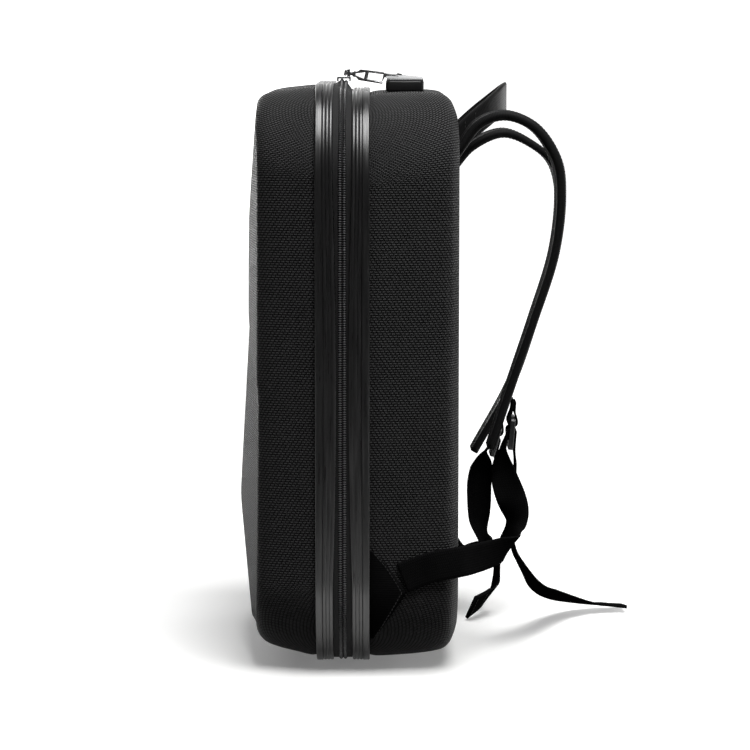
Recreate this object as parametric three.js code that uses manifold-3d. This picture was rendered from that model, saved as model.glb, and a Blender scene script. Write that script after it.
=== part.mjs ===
// Hard-shell backpack for a game console, standing on its rims with its straps hanging free.
// Millimetres, +Z up, front of the bag towards -Y, wearer's right towards +X.
// The origin is on the rear rim's flat land, at the middle of the bag's width, on the floor.

import * as THREE from 'three';
import Module from 'manifold-3d';

const wasm = await Module();
wasm.setup();

// Outline of the two halves, seen from the front
const WIDTH = 330;
const REAR_TOP = 475;
const FRONT_TOP = 481;
const CORNER = 75;
const STEPS = { corner: 5, side: 4, top: 6, bottom: 4 };

// Depths are measured from the plane of the zip, insets inwards from the rims' outer face
const ZIP_Y = -19;
const RIM_OUTER = 22;
const RIM_INNER = 7.9;
const RIM_BOW = 2.6;
const RIM_BASE = 4.2;
const RIM_LAND = 0.4;
const RIM_EDGE = { depth: 1, share: 0.08 };
const RIB_COUNT = 3;
const RIB = { groove: 1.2, crest: 0.3, valley: 0.2, crestStart: 0.4, crestEnd: 0.85 };

// Gap between neighbouring pieces, and how far a cutter runs past the face that it cuts
const GAP = 0.3;
const OVERCUT = 1;

// Moulded shells: a row for each bend of the side wall, from the edge to the face
const FRONT_WALL = 6;
const REAR_WALL = 3.2;
const FRONT_PROFILE = [
  { depth: 9.5, inset: 4.5 },
  { depth: 22, inset: 4.5 },
  { depth: 26, inset: 4.2 },
  { depth: 40, inset: 7.4 },
  { depth: 50, inset: 9.8 },
  { depth: 56, inset: 11.6 },
  { depth: 61, inset: 13.4 },
  { depth: 65.5, inset: 16 },
  { depth: 69, inset: 19.5 },
  { depth: 71.8, inset: 24.5 },
  { depth: 73.8, inset: 33 },
  { depth: 100, inset: 62 },
];
const REAR_PROFILE = [
  { depth: 9.5, inset: 4.5 },
  { depth: 22, inset: 4.5 },
  { depth: 26, inset: 3.6 },
  { depth: 50, inset: 4.6 },
  { depth: 68.5, inset: 6.4 },
  { depth: 78.4, inset: 8.2 },
  { depth: 83.4, inset: 9.9 },
  { depth: 88.3, inset: 14.2 },
  { depth: 91.6, inset: 21 },
  { depth: 94, inset: 28.5 },
  { depth: 95, inset: 36 },
];
// How steeply the shells' tops climb beyond the rims
const TOP_RISE = { front: 0.14, rear: 0.1 };

// Facets of the front face: depth at one point (x, z), and how it falls outwards and upwards
const LOWER_FACETS = [
  { depth: 90.4, x: 0, z: 125, fall: 0.045, rise: -0.0575 },
  { depth: 90.4, x: 0, z: 125, fall: 0.06, rise: 0.09 },
  { depth: 71.5, x: 134, z: 125, fall: 0.17, rise: -0.012 },
];
const UPPER_FACETS = [
  { depth: 80.8, x: 0, z: 292, fall: 0.02, rise: -0.0075 },
  { depth: 71, x: 134, z: 292, fall: 0.15, rise: -0.005 },
  { depth: 80.2, x: 0, z: 372, fall: 0.02, rise: -0.085 },
  { depth: 80.8, x: 0, z: 292, fall: 0, rise: 0.2 },
];
const FACET_CUTTER = { x: 300, low: -10, high: 520 };

// Zip: tape between the rims with its seam behind it, coil on its middle, both lifted where the
// sliders pull it up
const TAPE = { outer: 2.2, inner: 6.4 };
const COIL = { half: 3.5, base: 1.9, shoulder: 0.9, crown: 0.5, crownHalf: 1.8 };
const ZIP_LIFT = 6;
const ZIP_LIFT_REACH = 45;

// Sliders and pulls
const SLIDER_X = 14;
const SLIDER = { length: 16, half: 5.8, inside: 4.6, foot: 481.6, roof: 483.8, top: 485.2 };
const CROWN = { half: 6.1, leg: 1.6, opening: 5, bar: 1.4, width: 2.4, back: 4 };
const PULL = { thickness: 1.5, roll: 66, pitch: 7.5, yaw: 12.4, z: 488.1 };
const PULL_BAR = { half: 2.2, length: 2 };
const PULL_NECK = { half: 1.2, start: -1.8, length: 5.2 };
const PULL_EYE = { half: 2.2, length: 3.4 };
const PULL_PLATE = { shoulder: 6.1, shoulderHalf: 4.6, half: 5, length: 27.6 };
const PULL_HOLE = { half: 1.1, endHalf: 3.4, start: 2.7, length: 8 };
const PULL_WINDOW = { half: 3.5, endHalf: 3.7, start: 13.6, length: 12.7 };
const PULL_TONGUE = { offset: 2.6, half: 1.5, length: 11.5 };
const PULL_CHAMFER = 1;

// Lock on top of the rear shell; its cover is crowned and falls towards the back
const LOCK = { y: 16.6, z: 473.6, half: 37, depth: 32, height: 8.2, corner: 4 };
const COVER = { half: 36.5, start: 0.5, depth: 31, base: 8.5, edge: 9.8, crown: 14.8, backShare: 0.36 };
const COVER_ARC_STEPS = 8;
const DIAL = { y: 11, z: 9.7, radius: 5, notch: 0.4, thickness: 5.6, pitch: 8.6, bore: 1.7 };
const DIAL_COUNT = 3;
const DIAL_TEETH = 10;
const DIAL_POCKET = { half: 14.2, reach: 6, floor: 3.6 };
const DIAL_WINDOW = { half: 3.2, reach: 5.5 };
const PIN = { radius: 1.2, channel: 1.5, half: 16.5, sides: 8 };
const PULL_NOTCH = { x: 21, half: 3.4, depth: 11 };

// Straps: sections along a padded strap, webbing, and buckles off the strap's lower end
const STRAP_STEPS = 22;
const STRAP_EDGE_SHARE = 0.7;
const STRAP_ROOT_SLANT = 0.6;
const WEB_WIDTH = 25.4;
const WEB_THICKNESS = 1.6;
const BUCKLE = { half: 16.5, slotHalf: 13.3, bar: 5, midBar: 4.5, slot: 6, thickness: 4, corner: 2 };
const BUCKLE_PLACE = { out: 13, along: 16.7, lean: 13 };
const BAND_STEPS = 2;

// Padded straps, a row for each section: place on the side view, spread, width and thickness
const RIGHT_STRAP = [
  { y: 76.5, z: 424.5, x: 62, width: 46, thickness: 8 },
  { y: 94, z: 447.5, x: 64, width: 46, thickness: 8.5 },
  { y: 115, z: 454.2, x: 67, width: 46, thickness: 8.5 },
  { y: 139.5, z: 444.5, x: 70, width: 46, thickness: 8.5 },
  { y: 157.8, z: 417, x: 72, width: 46, thickness: 8.5 },
  { y: 161.3, z: 388, x: 73, width: 46, thickness: 8.2 },
  { y: 156.3, z: 341, x: 74, width: 45, thickness: 7.6 },
  { y: 139.2, z: 285, x: 75, width: 42, thickness: 7 },
  { y: 122.2, z: 234, x: 75, width: 37, thickness: 7 },
  { y: 104, z: 177.7, x: 75, width: 33, thickness: 6.5 },
];
const LEFT_STRAP = [
  { y: 76.5, z: 406.5, x: -62, width: 46, thickness: 8 },
  { y: 91.5, z: 423.8, x: -64, width: 46, thickness: 8.5 },
  { y: 119.5, z: 435.5, x: -67, width: 46, thickness: 8 },
  { y: 146, z: 425, x: -70, width: 46, thickness: 6.5 },
  { y: 163, z: 409.5, x: -72, width: 46, thickness: 6.5 },
  { y: 171, z: 380, x: -73.5, width: 46, thickness: 7.5 },
  { y: 166.2, z: 329.7, x: -75, width: 45, thickness: 7.5 },
  { y: 148.1, z: 270, x: -75, width: 42, thickness: 7 },
  { y: 128.8, z: 214, x: -75, width: 37, thickness: 6.8 },
  { y: 95.5, z: 152.5, x: -75, width: 33, thickness: 6.5 },
];

// Haul handle, one half from the back panel to the middle: the band stands upright all the way
const HANDLE_WIDTH = 26;
const HANDLE_THICKNESS = 3;
const HANDLE_HALF = [
  { x: 34, y: 76.9, z: 433, head: 90, lean: 0 },
  { x: 32, y: 90, z: 445, head: 90, lean: 0 },
  { x: 25.5, y: 104, z: 456.5, head: 90, lean: 0 },
  { x: 14, y: 114.5, z: 465, head: 90, lean: 0 },
];
const HANDLE_MIDDLE = { x: 0, y: 118.3, z: 467.7, head: 90, lean: 0 };

// Lower webbing, a row for each section: middle of the band, the direction across it in the
// side view (head, from +Y to +Z) and how far that direction leans towards +X
const RIGHT_FEED = [
  { x: 162.7, y: 29.5, z: 82, head: 125, lean: 0 },
  { x: 161.5, y: 43, z: 87.4, head: 112, lean: 0 },
  { x: 160.8, y: 58.6, z: 91.8, head: 104, lean: 0 },
  { x: 155, y: 77.5, z: 94.1, head: 95, lean: 0 },
  { x: 143, y: 87, z: 93.8, head: 90, lean: 0 },
  { x: 127, y: 98.1, z: 93.7, head: 84, lean: 0 },
  { x: 110, y: 109.6, z: 93.9, head: 74, lean: 0 },
  { x: 98, y: 118.5, z: 94.2, head: 62, lean: 8 },
  { x: 89.5, y: 122.8, z: 97, head: 56, lean: 40 },
  { x: 85, y: 124, z: 102, head: 30, lean: 65 },
  { x: 83, y: 124.6, z: 108, head: 5, lean: 62 },
  { x: 83, y: 125.8, z: 116.5, head: 2, lean: 45 },
  { x: 84, y: 124.4, z: 126.4, head: 8, lean: 22 },
  { x: 84, y: 121, z: 136.6, head: 16, lean: 10 },
  { x: 82, y: 116.4, z: 149.9, head: 18, lean: 25 },
  { x: 78, y: 113.8, z: 163.8, head: 5, lean: 55 },
  { x: 75.5, y: 115, z: 176, head: 0, lean: 84 },
];
const RIGHT_TAIL = [
  { x: 72, y: 125.2, z: 164, head: 0, lean: 90 },
  { x: 64, y: 125, z: 138, head: 0, lean: 90 },
  { x: 57, y: 125, z: 111, head: 0, lean: 90 },
  { x: 50, y: 126, z: 90.5, head: 0, lean: 90 },
  { x: 40, y: 130, z: 77.4, head: 23, lean: 80 },
  { x: 26, y: 136.7, z: 64.2, head: 35, lean: 79 },
  { x: 4, y: 145.9, z: 49.4, head: 52, lean: 76 },
  { x: -30, y: 157.6, z: 33.8, head: 62, lean: 69 },
  { x: -65, y: 173, z: 20.5, head: 68, lean: 68 },
  { x: -92, y: 193, z: 10.5, head: 73, lean: 73 },
  { x: -103, y: 213, z: 5.5, head: 80, lean: 78 },
  { x: -106, y: 234.5, z: 3, head: 82, lean: 82 },
];
const LEFT_FEED = [
  { x: -162.7, y: 30, z: 82, head: 125, lean: 0 },
  { x: -161.5, y: 42, z: 85.5, head: 112, lean: 0 },
  { x: -160.8, y: 57.5, z: 78.5, head: 84, lean: 0 },
  { x: -155, y: 75.5, z: 50, head: 62, lean: 0 },
  { x: -142, y: 86, z: 41.5, head: 72, lean: 0 },
  { x: -125, y: 96, z: 46.5, head: 82, lean: 0 },
  { x: -109, y: 103.5, z: 52, head: 76, lean: -6 },
  { x: -97, y: 107.4, z: 56, head: 62, lean: -28 },
  { x: -89.5, y: 108, z: 61, head: 48, lean: -55 },
  { x: -85, y: 106.6, z: 68, head: 20, lean: -74 },
  { x: -82, y: 104, z: 77, head: 5, lean: -64 },
  { x: -80, y: 101.4, z: 90.5, head: 0, lean: -40 },
  { x: -79, y: 101, z: 106.2, head: 0, lean: -30 },
  { x: -78, y: 101, z: 122, head: 0, lean: -28 },
  { x: -77, y: 102.6, z: 137.5, head: 0, lean: -38 },
  { x: -76, y: 104, z: 148.5, head: 0, lean: -71 },
];
const LEFT_TAIL = [
  { x: -77, y: 118, z: 126, head: 180, lean: -90 },
  { x: -80, y: 122.5, z: 113, head: 180, lean: -89 },
  { x: -83, y: 126, z: 100, head: 180, lean: -88 },
  { x: -88, y: 127, z: 80, head: 180, lean: -87 },
  { x: -91.5, y: 122, z: 66, head: 180, lean: -86 },
  { x: -93.5, y: 118.8, z: 55, head: 180, lean: -84 },
  { x: -94.5, y: 118.2, z: 44.5, head: 190, lean: -82 },
  { x: -94, y: 117.4, z: 33, head: 215, lean: -78 },
  { x: -88, y: 115, z: 24, head: 240, lean: -62 },
  { x: -75, y: 107, z: 17, head: 250, lean: -44 },
  { x: -56, y: 94, z: 12.2, head: 253, lean: -31 },
];

// Runs through the buckle, a row for each section: how far out from its plane and up along it.
// The loop comes down the strap's face, round the top bar and back up over itself.
const LOOP_ROUTE = [
  { out: -1.3, up: 28 },
  { out: -1.3, up: 23 },
  { out: -1.6, up: 18 },
  { out: -2.6, up: 14.6 },
  { out: -3.6, up: 10.75 },
  { out: -3.3, up: 8 },
  { out: -1.9, up: 6.6 },
  { out: 0, up: 6.3 },
  { out: 1.9, up: 6.6 },
  { out: 3.3, up: 8 },
  { out: 3.6, up: 10.75 },
  { out: 2.4, up: 14.6 },
  { out: 1.1, up: 18 },
  { out: 0.8, up: 22.5 },
  { out: 0.8, up: 26.5 },
];
// The lower webbing turns over the middle bar.
const TURN_ROUTE = [
  { out: -3.5, up: -5 },
  { out: -3.5, up: 0 },
  { out: -3.4, up: 2.2 },
  { out: -2.2, up: 3.6 },
  { out: 0, up: 4 },
  { out: 2.2, up: 3.6 },
  { out: 3.4, up: 2.2 },
  { out: 3.5, up: 0 },
  { out: 3.5, up: -6 },
  { out: 3.8, up: -14 },
];

// Anchor tabs, a row for each height: how deep the triangle reaches from the rim
const TAB_LIFT = 1.2;
const TAB_THICKNESS = 1.6;
const TAB_ROWS = [
  { z: 105, reach: 23.5 },
  { z: 98, reach: 30.5 },
  { z: 91, reach: 37.2 },
  { z: 80, reach: 45.4 },
  { z: 70, reach: 52 },
  { z: 60, reach: 46 },
  { z: 48, reach: 38.5 },
  { z: 36, reach: 31 },
  { z: 28, reach: 25 },
];

const FINISH = {
  shell: { color: 0x131315, roughness: 0.8, metalness: 0 },
  rim: { color: 0x101011, roughness: 0.3, metalness: 0 },
  tape: { color: 0x1a1a1b, roughness: 0.85, metalness: 0 },
  coil: { color: 0x6b6b6d, roughness: 0.4, metalness: 0.2 },
  chrome: { color: 0xc4c6c8, roughness: 0.15, metalness: 1 },
  plastic: { color: 0x0d0d0e, roughness: 0.4, metalness: 0 },
  cover: { color: 0x9a9ca0, roughness: 0.3, metalness: 1 },
  padding: { color: 0x17171a, roughness: 0.85, metalness: 0 },
  webbing: { color: 0x151517, roughness: 0.75, metalness: 0 },
};

const radians = THREE.MathUtils.degToRad;
const bag = new THREE.Group();

function addPiece(name, geometry, finish, parent = bag) {
  const piece = new THREE.Mesh(geometry, new THREE.MeshStandardMaterial(FINISH[finish]));
  piece.name = name;
  parent.add(piece);
  return piece;
}

// A geometry from points and triangles, turned so that its faces point outwards
function closedBody(points, triangles) {
  const corner = (index) => points[index];
  const volume = triangles.reduce((sum, [a, b, c]) => {
    const face = new THREE.Vector3().crossVectors(corner(b), corner(c));
    return sum + corner(a).dot(face);
  }, 0);
  const turned = volume < 0 ? triangles.map(([a, b, c]) => [a, c, b]) : triangles;
  const geometry = new THREE.BufferGeometry().setFromPoints(points);
  geometry.setIndex(turned.flat());
  return geometry;
}

// A solid through rings of equal count: each end is closed by a fan about its middle,
// unless the last ring joins the first
function loft(rings, isLoop = false) {
  const count = rings[0].length;
  const points = rings.flat();
  const triangles = [];
  const spans = isLoop ? rings.length : rings.length - 1;
  for (let ring = 0; ring < spans; ring += 1) {
    const next = (ring + 1) % rings.length;
    for (let index = 0; index < count; index += 1) {
      const beside = (index + 1) % count;
      const [a, b] = [ring * count + index, ring * count + beside];
      const [c, d] = [next * count + index, next * count + beside];
      triangles.push([a, b, c], [b, d, c]);
    }
  }
  if (!isLoop) {
    for (const [ring, isStart] of [[0, true], [rings.length - 1, false]]) {
      const middle = new THREE.Vector3();
      rings[ring].forEach((point) => middle.addScaledVector(point, 1 / count));
      points.push(middle);
      for (let index = 0; index < count; index += 1) {
        const [a, b] = [ring * count + index, ring * count + (index + 1) % count];
        triangles.push(isStart ? [b, a, points.length - 1] : [a, b, points.length - 1]);
      }
    }
  }
  return closedBody(points, triangles);
}

// Boolean work on closed geometries whose corners are merged by their place
function solid(geometry) {
  const position = geometry.getAttribute('position');
  const seen = new Map();
  const places = [];
  const merged = [];
  for (let index = 0; index < position.count; index += 1) {
    const place = [position.getX(index), position.getY(index), position.getZ(index)];
    const key = place.map((value) => Math.round(value * 1e4)).join();
    if (!seen.has(key)) {
      seen.set(key, places.length / 3);
      places.push(...place);
    }
    merged.push(seen.get(key));
  }
  const order = geometry.index ? Array.from(geometry.index.array) : merged.map((_, index) => index);
  const vertProperties = new Float32Array(places);
  const triVerts = new Uint32Array(order.map((index) => merged[index]));
  return new wasm.Manifold(new wasm.Mesh({ numProp: 3, vertProperties, triVerts }));
}

function geometryOf(body) {
  const mesh = body.getMesh();
  const geometry = new THREE.BufferGeometry();
  geometry.setAttribute('position', new THREE.BufferAttribute(mesh.vertProperties, 3));
  geometry.setIndex(new THREE.BufferAttribute(mesh.triVerts, 1));
  return geometry;
}

function box(xRange, yRange, zRange) {
  const size = [xRange, yRange, zRange].map(([low, high]) => high - low);
  const middle = [xRange, yRange, zRange].map(([low, high]) => (low + high) / 2);
  return solid(new THREE.BoxGeometry(...size).translate(...middle));
}

// The rounded outline at an inset, from the lower right corner round to the bottom's middle run
function outline(inset, top) {
  const radius = CORNER - inset;
  const [x, low, high] = [WIDTH / 2 - CORNER, CORNER, top - CORNER];
  const corners = [
    { x, z: low, start: -Math.PI / 2, run: STEPS.side },
    { x, z: high, start: 0, run: STEPS.top },
    { x: -x, z: high, start: Math.PI / 2, run: STEPS.side },
    { x: -x, z: low, start: Math.PI, run: STEPS.bottom },
  ];
  const onArc = ({ x: cx, z: cz, start }, turn) => {
    const angle = start + turn * Math.PI / 2;
    return new THREE.Vector2(cx + radius * Math.cos(angle), cz + radius * Math.sin(angle));
  };
  return corners.flatMap((arc, index) => {
    const bend = Array.from({ length: STEPS.corner + 1 }, (_, step) => onArc(arc, step / STEPS.corner));
    const next = onArc(corners[(index + 1) % corners.length], 0);
    const run = Array.from({ length: arc.run - 1 }, (_, step) =>
      bend.at(-1).clone().lerp(next, (step + 1) / arc.run));
    return [...bend, ...run];
  });
}

// The front half is taller than the rear one, the zip slopes between them, and both shells climb
// beyond their rims
function topAt(depth) {
  const share = THREE.MathUtils.clamp((depth + RIM_INNER) / (2 * RIM_INNER), 0, 1);
  const beyond = Math.max(0, Math.abs(depth) - RIM_OUTER);
  const rise = depth < 0 ? TOP_RISE.front : TOP_RISE.rear;
  return THREE.MathUtils.lerp(FRONT_TOP, REAR_TOP, share) + rise * beyond;
}

function ring(depth, inset) {
  return outline(inset, topAt(depth)).map((point) => new THREE.Vector3(point.x, ZIP_Y + depth, point.y));
}

// How much the rims close in on each other at a height: 1 at mid height, 0 at the corners
function bowAt(z) {
  const along = (z - REAR_TOP / 2) / (REAR_TOP / 2 - CORNER);
  return Math.max(0, 1 - along * along);
}

// A profile moved inwards by a wall thickness, square to its own slope
function insideOf(profile, wall) {
  return profile.map((row, index) => {
    const before = profile[Math.max(index - 1, 0)];
    const after = profile[Math.min(index + 1, profile.length - 1)];
    const along = new THREE.Vector2(after.depth - before.depth, after.inset - before.inset).normalize();
    return { depth: row.depth - wall * along.y, inset: row.inset + wall * along.x };
  });
}

// Rear shell: a cup whose outer face and inner face meet at its open edge
const rearInside = insideOf(REAR_PROFILE, REAR_WALL);
addPiece('rear_shell', loft([
  ...REAR_PROFILE.toReversed().map(({ depth, inset }) => ring(depth, inset)),
  ...rearInside.map(({ depth, inset }) => ring(depth, inset)),
]), 'shell');

// Front shell: a pillow cut by the facets' planes, less the same form one wall further in
function underFacet({ depth, x, z, fall, rise }, side, wall) {
  const corners = [];
  const { x: reach, low, high } = FACET_CUTTER;
  for (const [px, pz] of [[-reach, low], [reach, low], [reach, high], [-reach, high]]) {
    corners.push({ x: px, z: pz, depth: depth - fall * (side * px - x) + rise * (pz - z) - wall });
  }
  const at = (share) => corners.map((spot) =>
    new THREE.Vector3(spot.x, ZIP_Y - share * spot.depth, spot.z));
  return solid(loft([at(0), at(1)]));
}

function frontForm(profile, wall) {
  const pillow = solid(loft(profile.map(({ depth, inset }) => ring(-depth, inset))));
  const cutBy = (facets) => facets.reduce((body, facet) =>
    body.intersect(underFacet(facet, 1, wall)).intersect(underFacet(facet, -1, wall)), pillow);
  return cutBy(LOWER_FACETS).add(cutBy(UPPER_FACETS));
}

const frontInside = insideOf(FRONT_PROFILE, FRONT_WALL);
frontInside[0].depth -= FRONT_WALL;
const frontShell = frontForm(FRONT_PROFILE, 0).subtract(frontForm(frontInside, FRONT_WALL));
addPiece('front_shell', geometryOf(frontShell), 'shell');

// Rims: a broad land on the shell's side and narrow ribs towards the zip, carried round the outline
const rimSection = [[0, RIM_BASE], [0, RIM_EDGE.depth], [RIM_EDGE.share, 0], [RIM_LAND, 0]];
const ribPitch = (1 - RIM_LAND) / RIB_COUNT;
for (let rib = 0; rib < RIB_COUNT; rib += 1) {
  const start = RIM_LAND + rib * ribPitch;
  rimSection.push([start + RIB.valley * ribPitch, RIB.groove]);
  rimSection.push([start + RIB.crestStart * ribPitch, RIB.crest]);
  rimSection.push([start + RIB.crestEnd * ribPitch, RIB.crest]);
}
rimSection.push([1, RIB.groove], [1, RIM_BASE]);

function rim(side) {
  const rings = rimSection.map(([share, inset]) => {
    const points = ring(side * (RIM_OUTER + RIM_INNER) / 2, inset);
    return points.map((point) => {
      const width = RIM_OUTER - RIM_INNER + RIM_BOW * bowAt(point.z);
      return point.setY(ZIP_Y + side * (RIM_OUTER - share * width));
    });
  });
  return loft(rings, true);
}
addPiece('front_rim', rim(-1), 'rim');
addPiece('rear_rim', rim(1), 'rim');

// Zip: sections between the rims; the middle is lifted under the sliders, the edges stay down
function zipRing(depth, inset, share) {
  return outline(inset, topAt(depth)).map((point) => {
    const half = RIM_INNER - GAP - RIM_BOW * bowAt(point.y);
    const y = share === null ? depth : share * half;
    const isTop = point.y > REAR_TOP / 2;
    const lift = isTop ? ZIP_LIFT * Math.exp(-((point.x / ZIP_LIFT_REACH) ** 2)) : 0;
    const across = y / (RIM_INNER - GAP);
    return new THREE.Vector3(point.x, ZIP_Y + y, point.y + lift * (1 - across * across));
  });
}

const tapeShares = [-1, -0.5, 0, 0.5, 1];
const tapeRing = (share, inset) => zipRing(share * RIM_INNER, inset, share);
addPiece('zip_tape', loft([
  ...tapeShares.map((share) => tapeRing(share, TAPE.outer)),
  ...tapeShares.toReversed().map((share) => tapeRing(share, TAPE.inner)),
], true), 'tape');

const coilSection = [
  [-COIL.half, COIL.base], [0, COIL.base], [COIL.half, COIL.base],
  [COIL.half - GAP, COIL.shoulder], [COIL.crownHalf, COIL.crown],
  [-COIL.crownHalf, COIL.crown], [GAP - COIL.half, COIL.shoulder],
];
addPiece('zip_coil', loft(coilSection.map(([depth, inset]) => zipRing(depth, inset, null)), true), 'coil');

// Slider: a roof and two sides over the coil, with an arch on top that the pull hooks into
function slider(x) {
  const { length, half, inside, foot, roof, top } = SLIDER;
  const alongX = [x - length / 2, x + length / 2];
  const shellBox = box(alongX, [ZIP_Y - half, ZIP_Y + half], [foot, top]);
  const longer = [alongX[0] - OVERCUT, alongX[1] + OVERCUT];
  const tunnel = box(longer, [ZIP_Y - inside, ZIP_Y + inside], [foot - OVERCUT, roof]);
  const archY = ZIP_Y + CROWN.back;
  const thick = [archY - CROWN.width / 2, archY + CROWN.width / 2];
  const archTop = top + CROWN.opening + CROWN.bar;
  const arch = box([x - CROWN.half, x + CROWN.half], thick, [roof, archTop]);
  const inner = CROWN.half - CROWN.leg;
  const thicker = [thick[0] - OVERCUT, thick[1] + OVERCUT];
  const opening = box([x - inner, x + inner], thicker, [top, top + CROWN.opening]);
  return geometryOf(shellBox.subtract(tunnel).add(arch.subtract(opening)));
}

// Pull: end bar, neck through the arch, plate that widens from its eye and has two openings, and
// a tongue at its upper edge that the lock holds
function taperedHole({ half, endHalf, start, length }, origin = 0) {
  const low = origin + start;
  const high = low + length;
  const points = [[-half, low], [half, low], [endHalf, high], [-endHalf, high]];
  return new THREE.Path(points.map(([x, y]) => new THREE.Vector2(x, y)));
}

function pullGeometry(side) {
  const plateStart = PULL_NECK.start + PULL_NECK.length;
  const plateEnd = plateStart + PULL_PLATE.length;
  const tongueEnd = plateEnd + PULL_TONGUE.length;
  const barStart = PULL_NECK.start - PULL_BAR.length;
  const rightSide = [
    [PULL_BAR.half, barStart], [PULL_BAR.half, PULL_NECK.start],
    [PULL_NECK.half, PULL_NECK.start], [PULL_NECK.half, plateStart],
    [PULL_EYE.half - PULL_CHAMFER, plateStart], [PULL_EYE.half, plateStart + PULL_CHAMFER],
    [PULL_EYE.half, plateStart + PULL_EYE.length],
    [PULL_PLATE.shoulderHalf, plateStart + PULL_PLATE.shoulder],
    [PULL_PLATE.half, plateEnd - PULL_CHAMFER], [PULL_PLATE.half - PULL_CHAMFER, plateEnd],
  ];
  const leftSide = rightSide.toReversed().map(([x, y]) => [-x, y]);
  const middle = -side * PULL_TONGUE.offset;
  const edges = [middle + PULL_TONGUE.half, middle - PULL_TONGUE.half];
  const tongue = [
    [edges[0], plateEnd], [edges[0], tongueEnd], [edges[1], tongueEnd], [edges[1], plateEnd],
  ];
  const outline = [...rightSide, ...tongue, ...leftSide];
  const shape = new THREE.Shape(outline.map(([x, y]) => new THREE.Vector2(x, y)));
  shape.holes.push(taperedHole(PULL_HOLE, plateStart), taperedHole(PULL_WINDOW, plateStart));
  const plate = new THREE.ExtrudeGeometry(shape, { depth: PULL.thickness, bevelEnabled: false });
  return geometryOf(solid(plate.translate(0, 0, -PULL.thickness / 2)));
}

for (const [name, side] of [['right', 1], ['left', -1]]) {
  addPiece(`slider_${name}`, slider(side * SLIDER_X), 'chrome');
  const hang = new THREE.Group();
  hang.position.set(side * SLIDER_X, ZIP_Y + CROWN.back, PULL.z);
  hang.rotation.set(-radians(PULL.pitch), side * radians(PULL.roll), -side * radians(PULL.yaw), 'ZXY');
  addPiece(`pull_${name}`, pullGeometry(side), 'chrome', hang);
  bag.add(hang);
}

// Lock: a black body with a pocket, a crowned metal cover with windows, and three dials on a pin
const lock = new THREE.Group();
lock.position.set(0, LOCK.y, LOCK.z);
bag.add(lock);

function roundedBox(half, depth, corner, height) {
  const shape = new THREE.Shape();
  shape.moveTo(-half + corner, 0);
  shape.lineTo(half - corner, 0);
  shape.absarc(half - corner, corner, corner, -Math.PI / 2, 0);
  shape.absarc(half - corner, depth - corner, corner, 0, Math.PI / 2);
  shape.absarc(-half + corner, depth - corner, corner, Math.PI / 2, Math.PI);
  shape.absarc(-half + corner, corner, corner, Math.PI, 1.5 * Math.PI);
  return new THREE.ExtrudeGeometry(shape, { depth: height, bevelEnabled: false, curveSegments: 3 });
}

const dialSpan = [DIAL.y - DIAL_POCKET.reach, DIAL.y + DIAL_POCKET.reach];
const pocketDepth = [DIAL_POCKET.floor, LOCK.height + OVERCUT];
const pocket = box([-DIAL_POCKET.half, DIAL_POCKET.half], dialSpan, pocketDepth);
const lockBlock = solid(roundedBox(LOCK.half, LOCK.depth, LOCK.corner, LOCK.height));
addPiece('lock_body', geometryOf(lockBlock.subtract(pocket)), 'plastic', lock);

function rod(radius, half) {
  return new THREE.CylinderGeometry(radius, radius, 2 * half, PIN.sides).rotateZ(Math.PI / 2)
    .translate(0, DIAL.y, DIAL.z);
}

function coverSolid() {
  const section = (y, crown) => {
    const arc = Array.from({ length: COVER_ARC_STEPS + 1 }, (_, step) => {
      const along = 1 - 2 * step / COVER_ARC_STEPS;
      const height = crown - (crown - COVER.edge) * along * along;
      return new THREE.Vector3(COVER.half * along, y, height);
    });
    const low = [-1, 1].map((side) => new THREE.Vector3(side * COVER.half, y, COVER.base));
    return [...low, ...arc];
  };
  const backCrown = COVER.edge + COVER.backShare * (COVER.crown - COVER.edge);
  const back = section(COVER.start + COVER.depth, backCrown);
  return solid(loft([section(COVER.start, COVER.crown), back]));
}

const dialPlaces = Array.from({ length: DIAL_COUNT }, (_, index) =>
  (index - (DIAL_COUNT - 1) / 2) * DIAL.pitch);
const overCover = [COVER.base - OVERCUT, COVER.crown + OVERCUT];
let cover = coverSolid().subtract(solid(rod(PIN.channel, PIN.half + GAP)));
for (const x of dialPlaces) {
  const windowSpan = [DIAL.y - DIAL_WINDOW.reach, DIAL.y + DIAL_WINDOW.reach];
  cover = cover.subtract(box([x - DIAL_WINDOW.half, x + DIAL_WINDOW.half], windowSpan, overCover));
}
for (const x of [-PULL_NOTCH.x, PULL_NOTCH.x]) {
  const notchSpan = [-OVERCUT, PULL_NOTCH.depth];
  cover = cover.subtract(box([x - PULL_NOTCH.half, x + PULL_NOTCH.half], notchSpan, overCover));
}
addPiece('lock_cover', geometryOf(cover), 'cover', lock);
addPiece('lock_pin', rod(PIN.radius, PIN.half), 'chrome', lock);

// Dial: a toothed wheel with a round bore, turning on the pin
function dial(x) {
  const shape = new THREE.Shape();
  for (let step = 0; step < 2 * DIAL_TEETH; step += 1) {
    const angle = (step + 0.5) * Math.PI / DIAL_TEETH;
    const radius = DIAL.radius - (step % 2) * DIAL.notch;
    const place = [radius * Math.cos(angle), radius * Math.sin(angle)];
    if (step === 0) shape.moveTo(...place);
    else shape.lineTo(...place);
  }
  shape.holes.push(new THREE.Path().absarc(0, 0, DIAL.bore, 0, 2 * Math.PI, true));
  const wheel = new THREE.ExtrudeGeometry(shape, {
    depth: DIAL.thickness, bevelEnabled: false, curveSegments: 6,
  });
  wheel.translate(0, 0, -DIAL.thickness / 2).rotateY(Math.PI / 2);
  return geometryOf(solid(wheel.translate(x, DIAL.y, DIAL.z)));
}
dialPlaces.forEach((x, index) => addPiece(`lock_dial_${index + 1}`, dial(x), 'plastic', lock));

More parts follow.
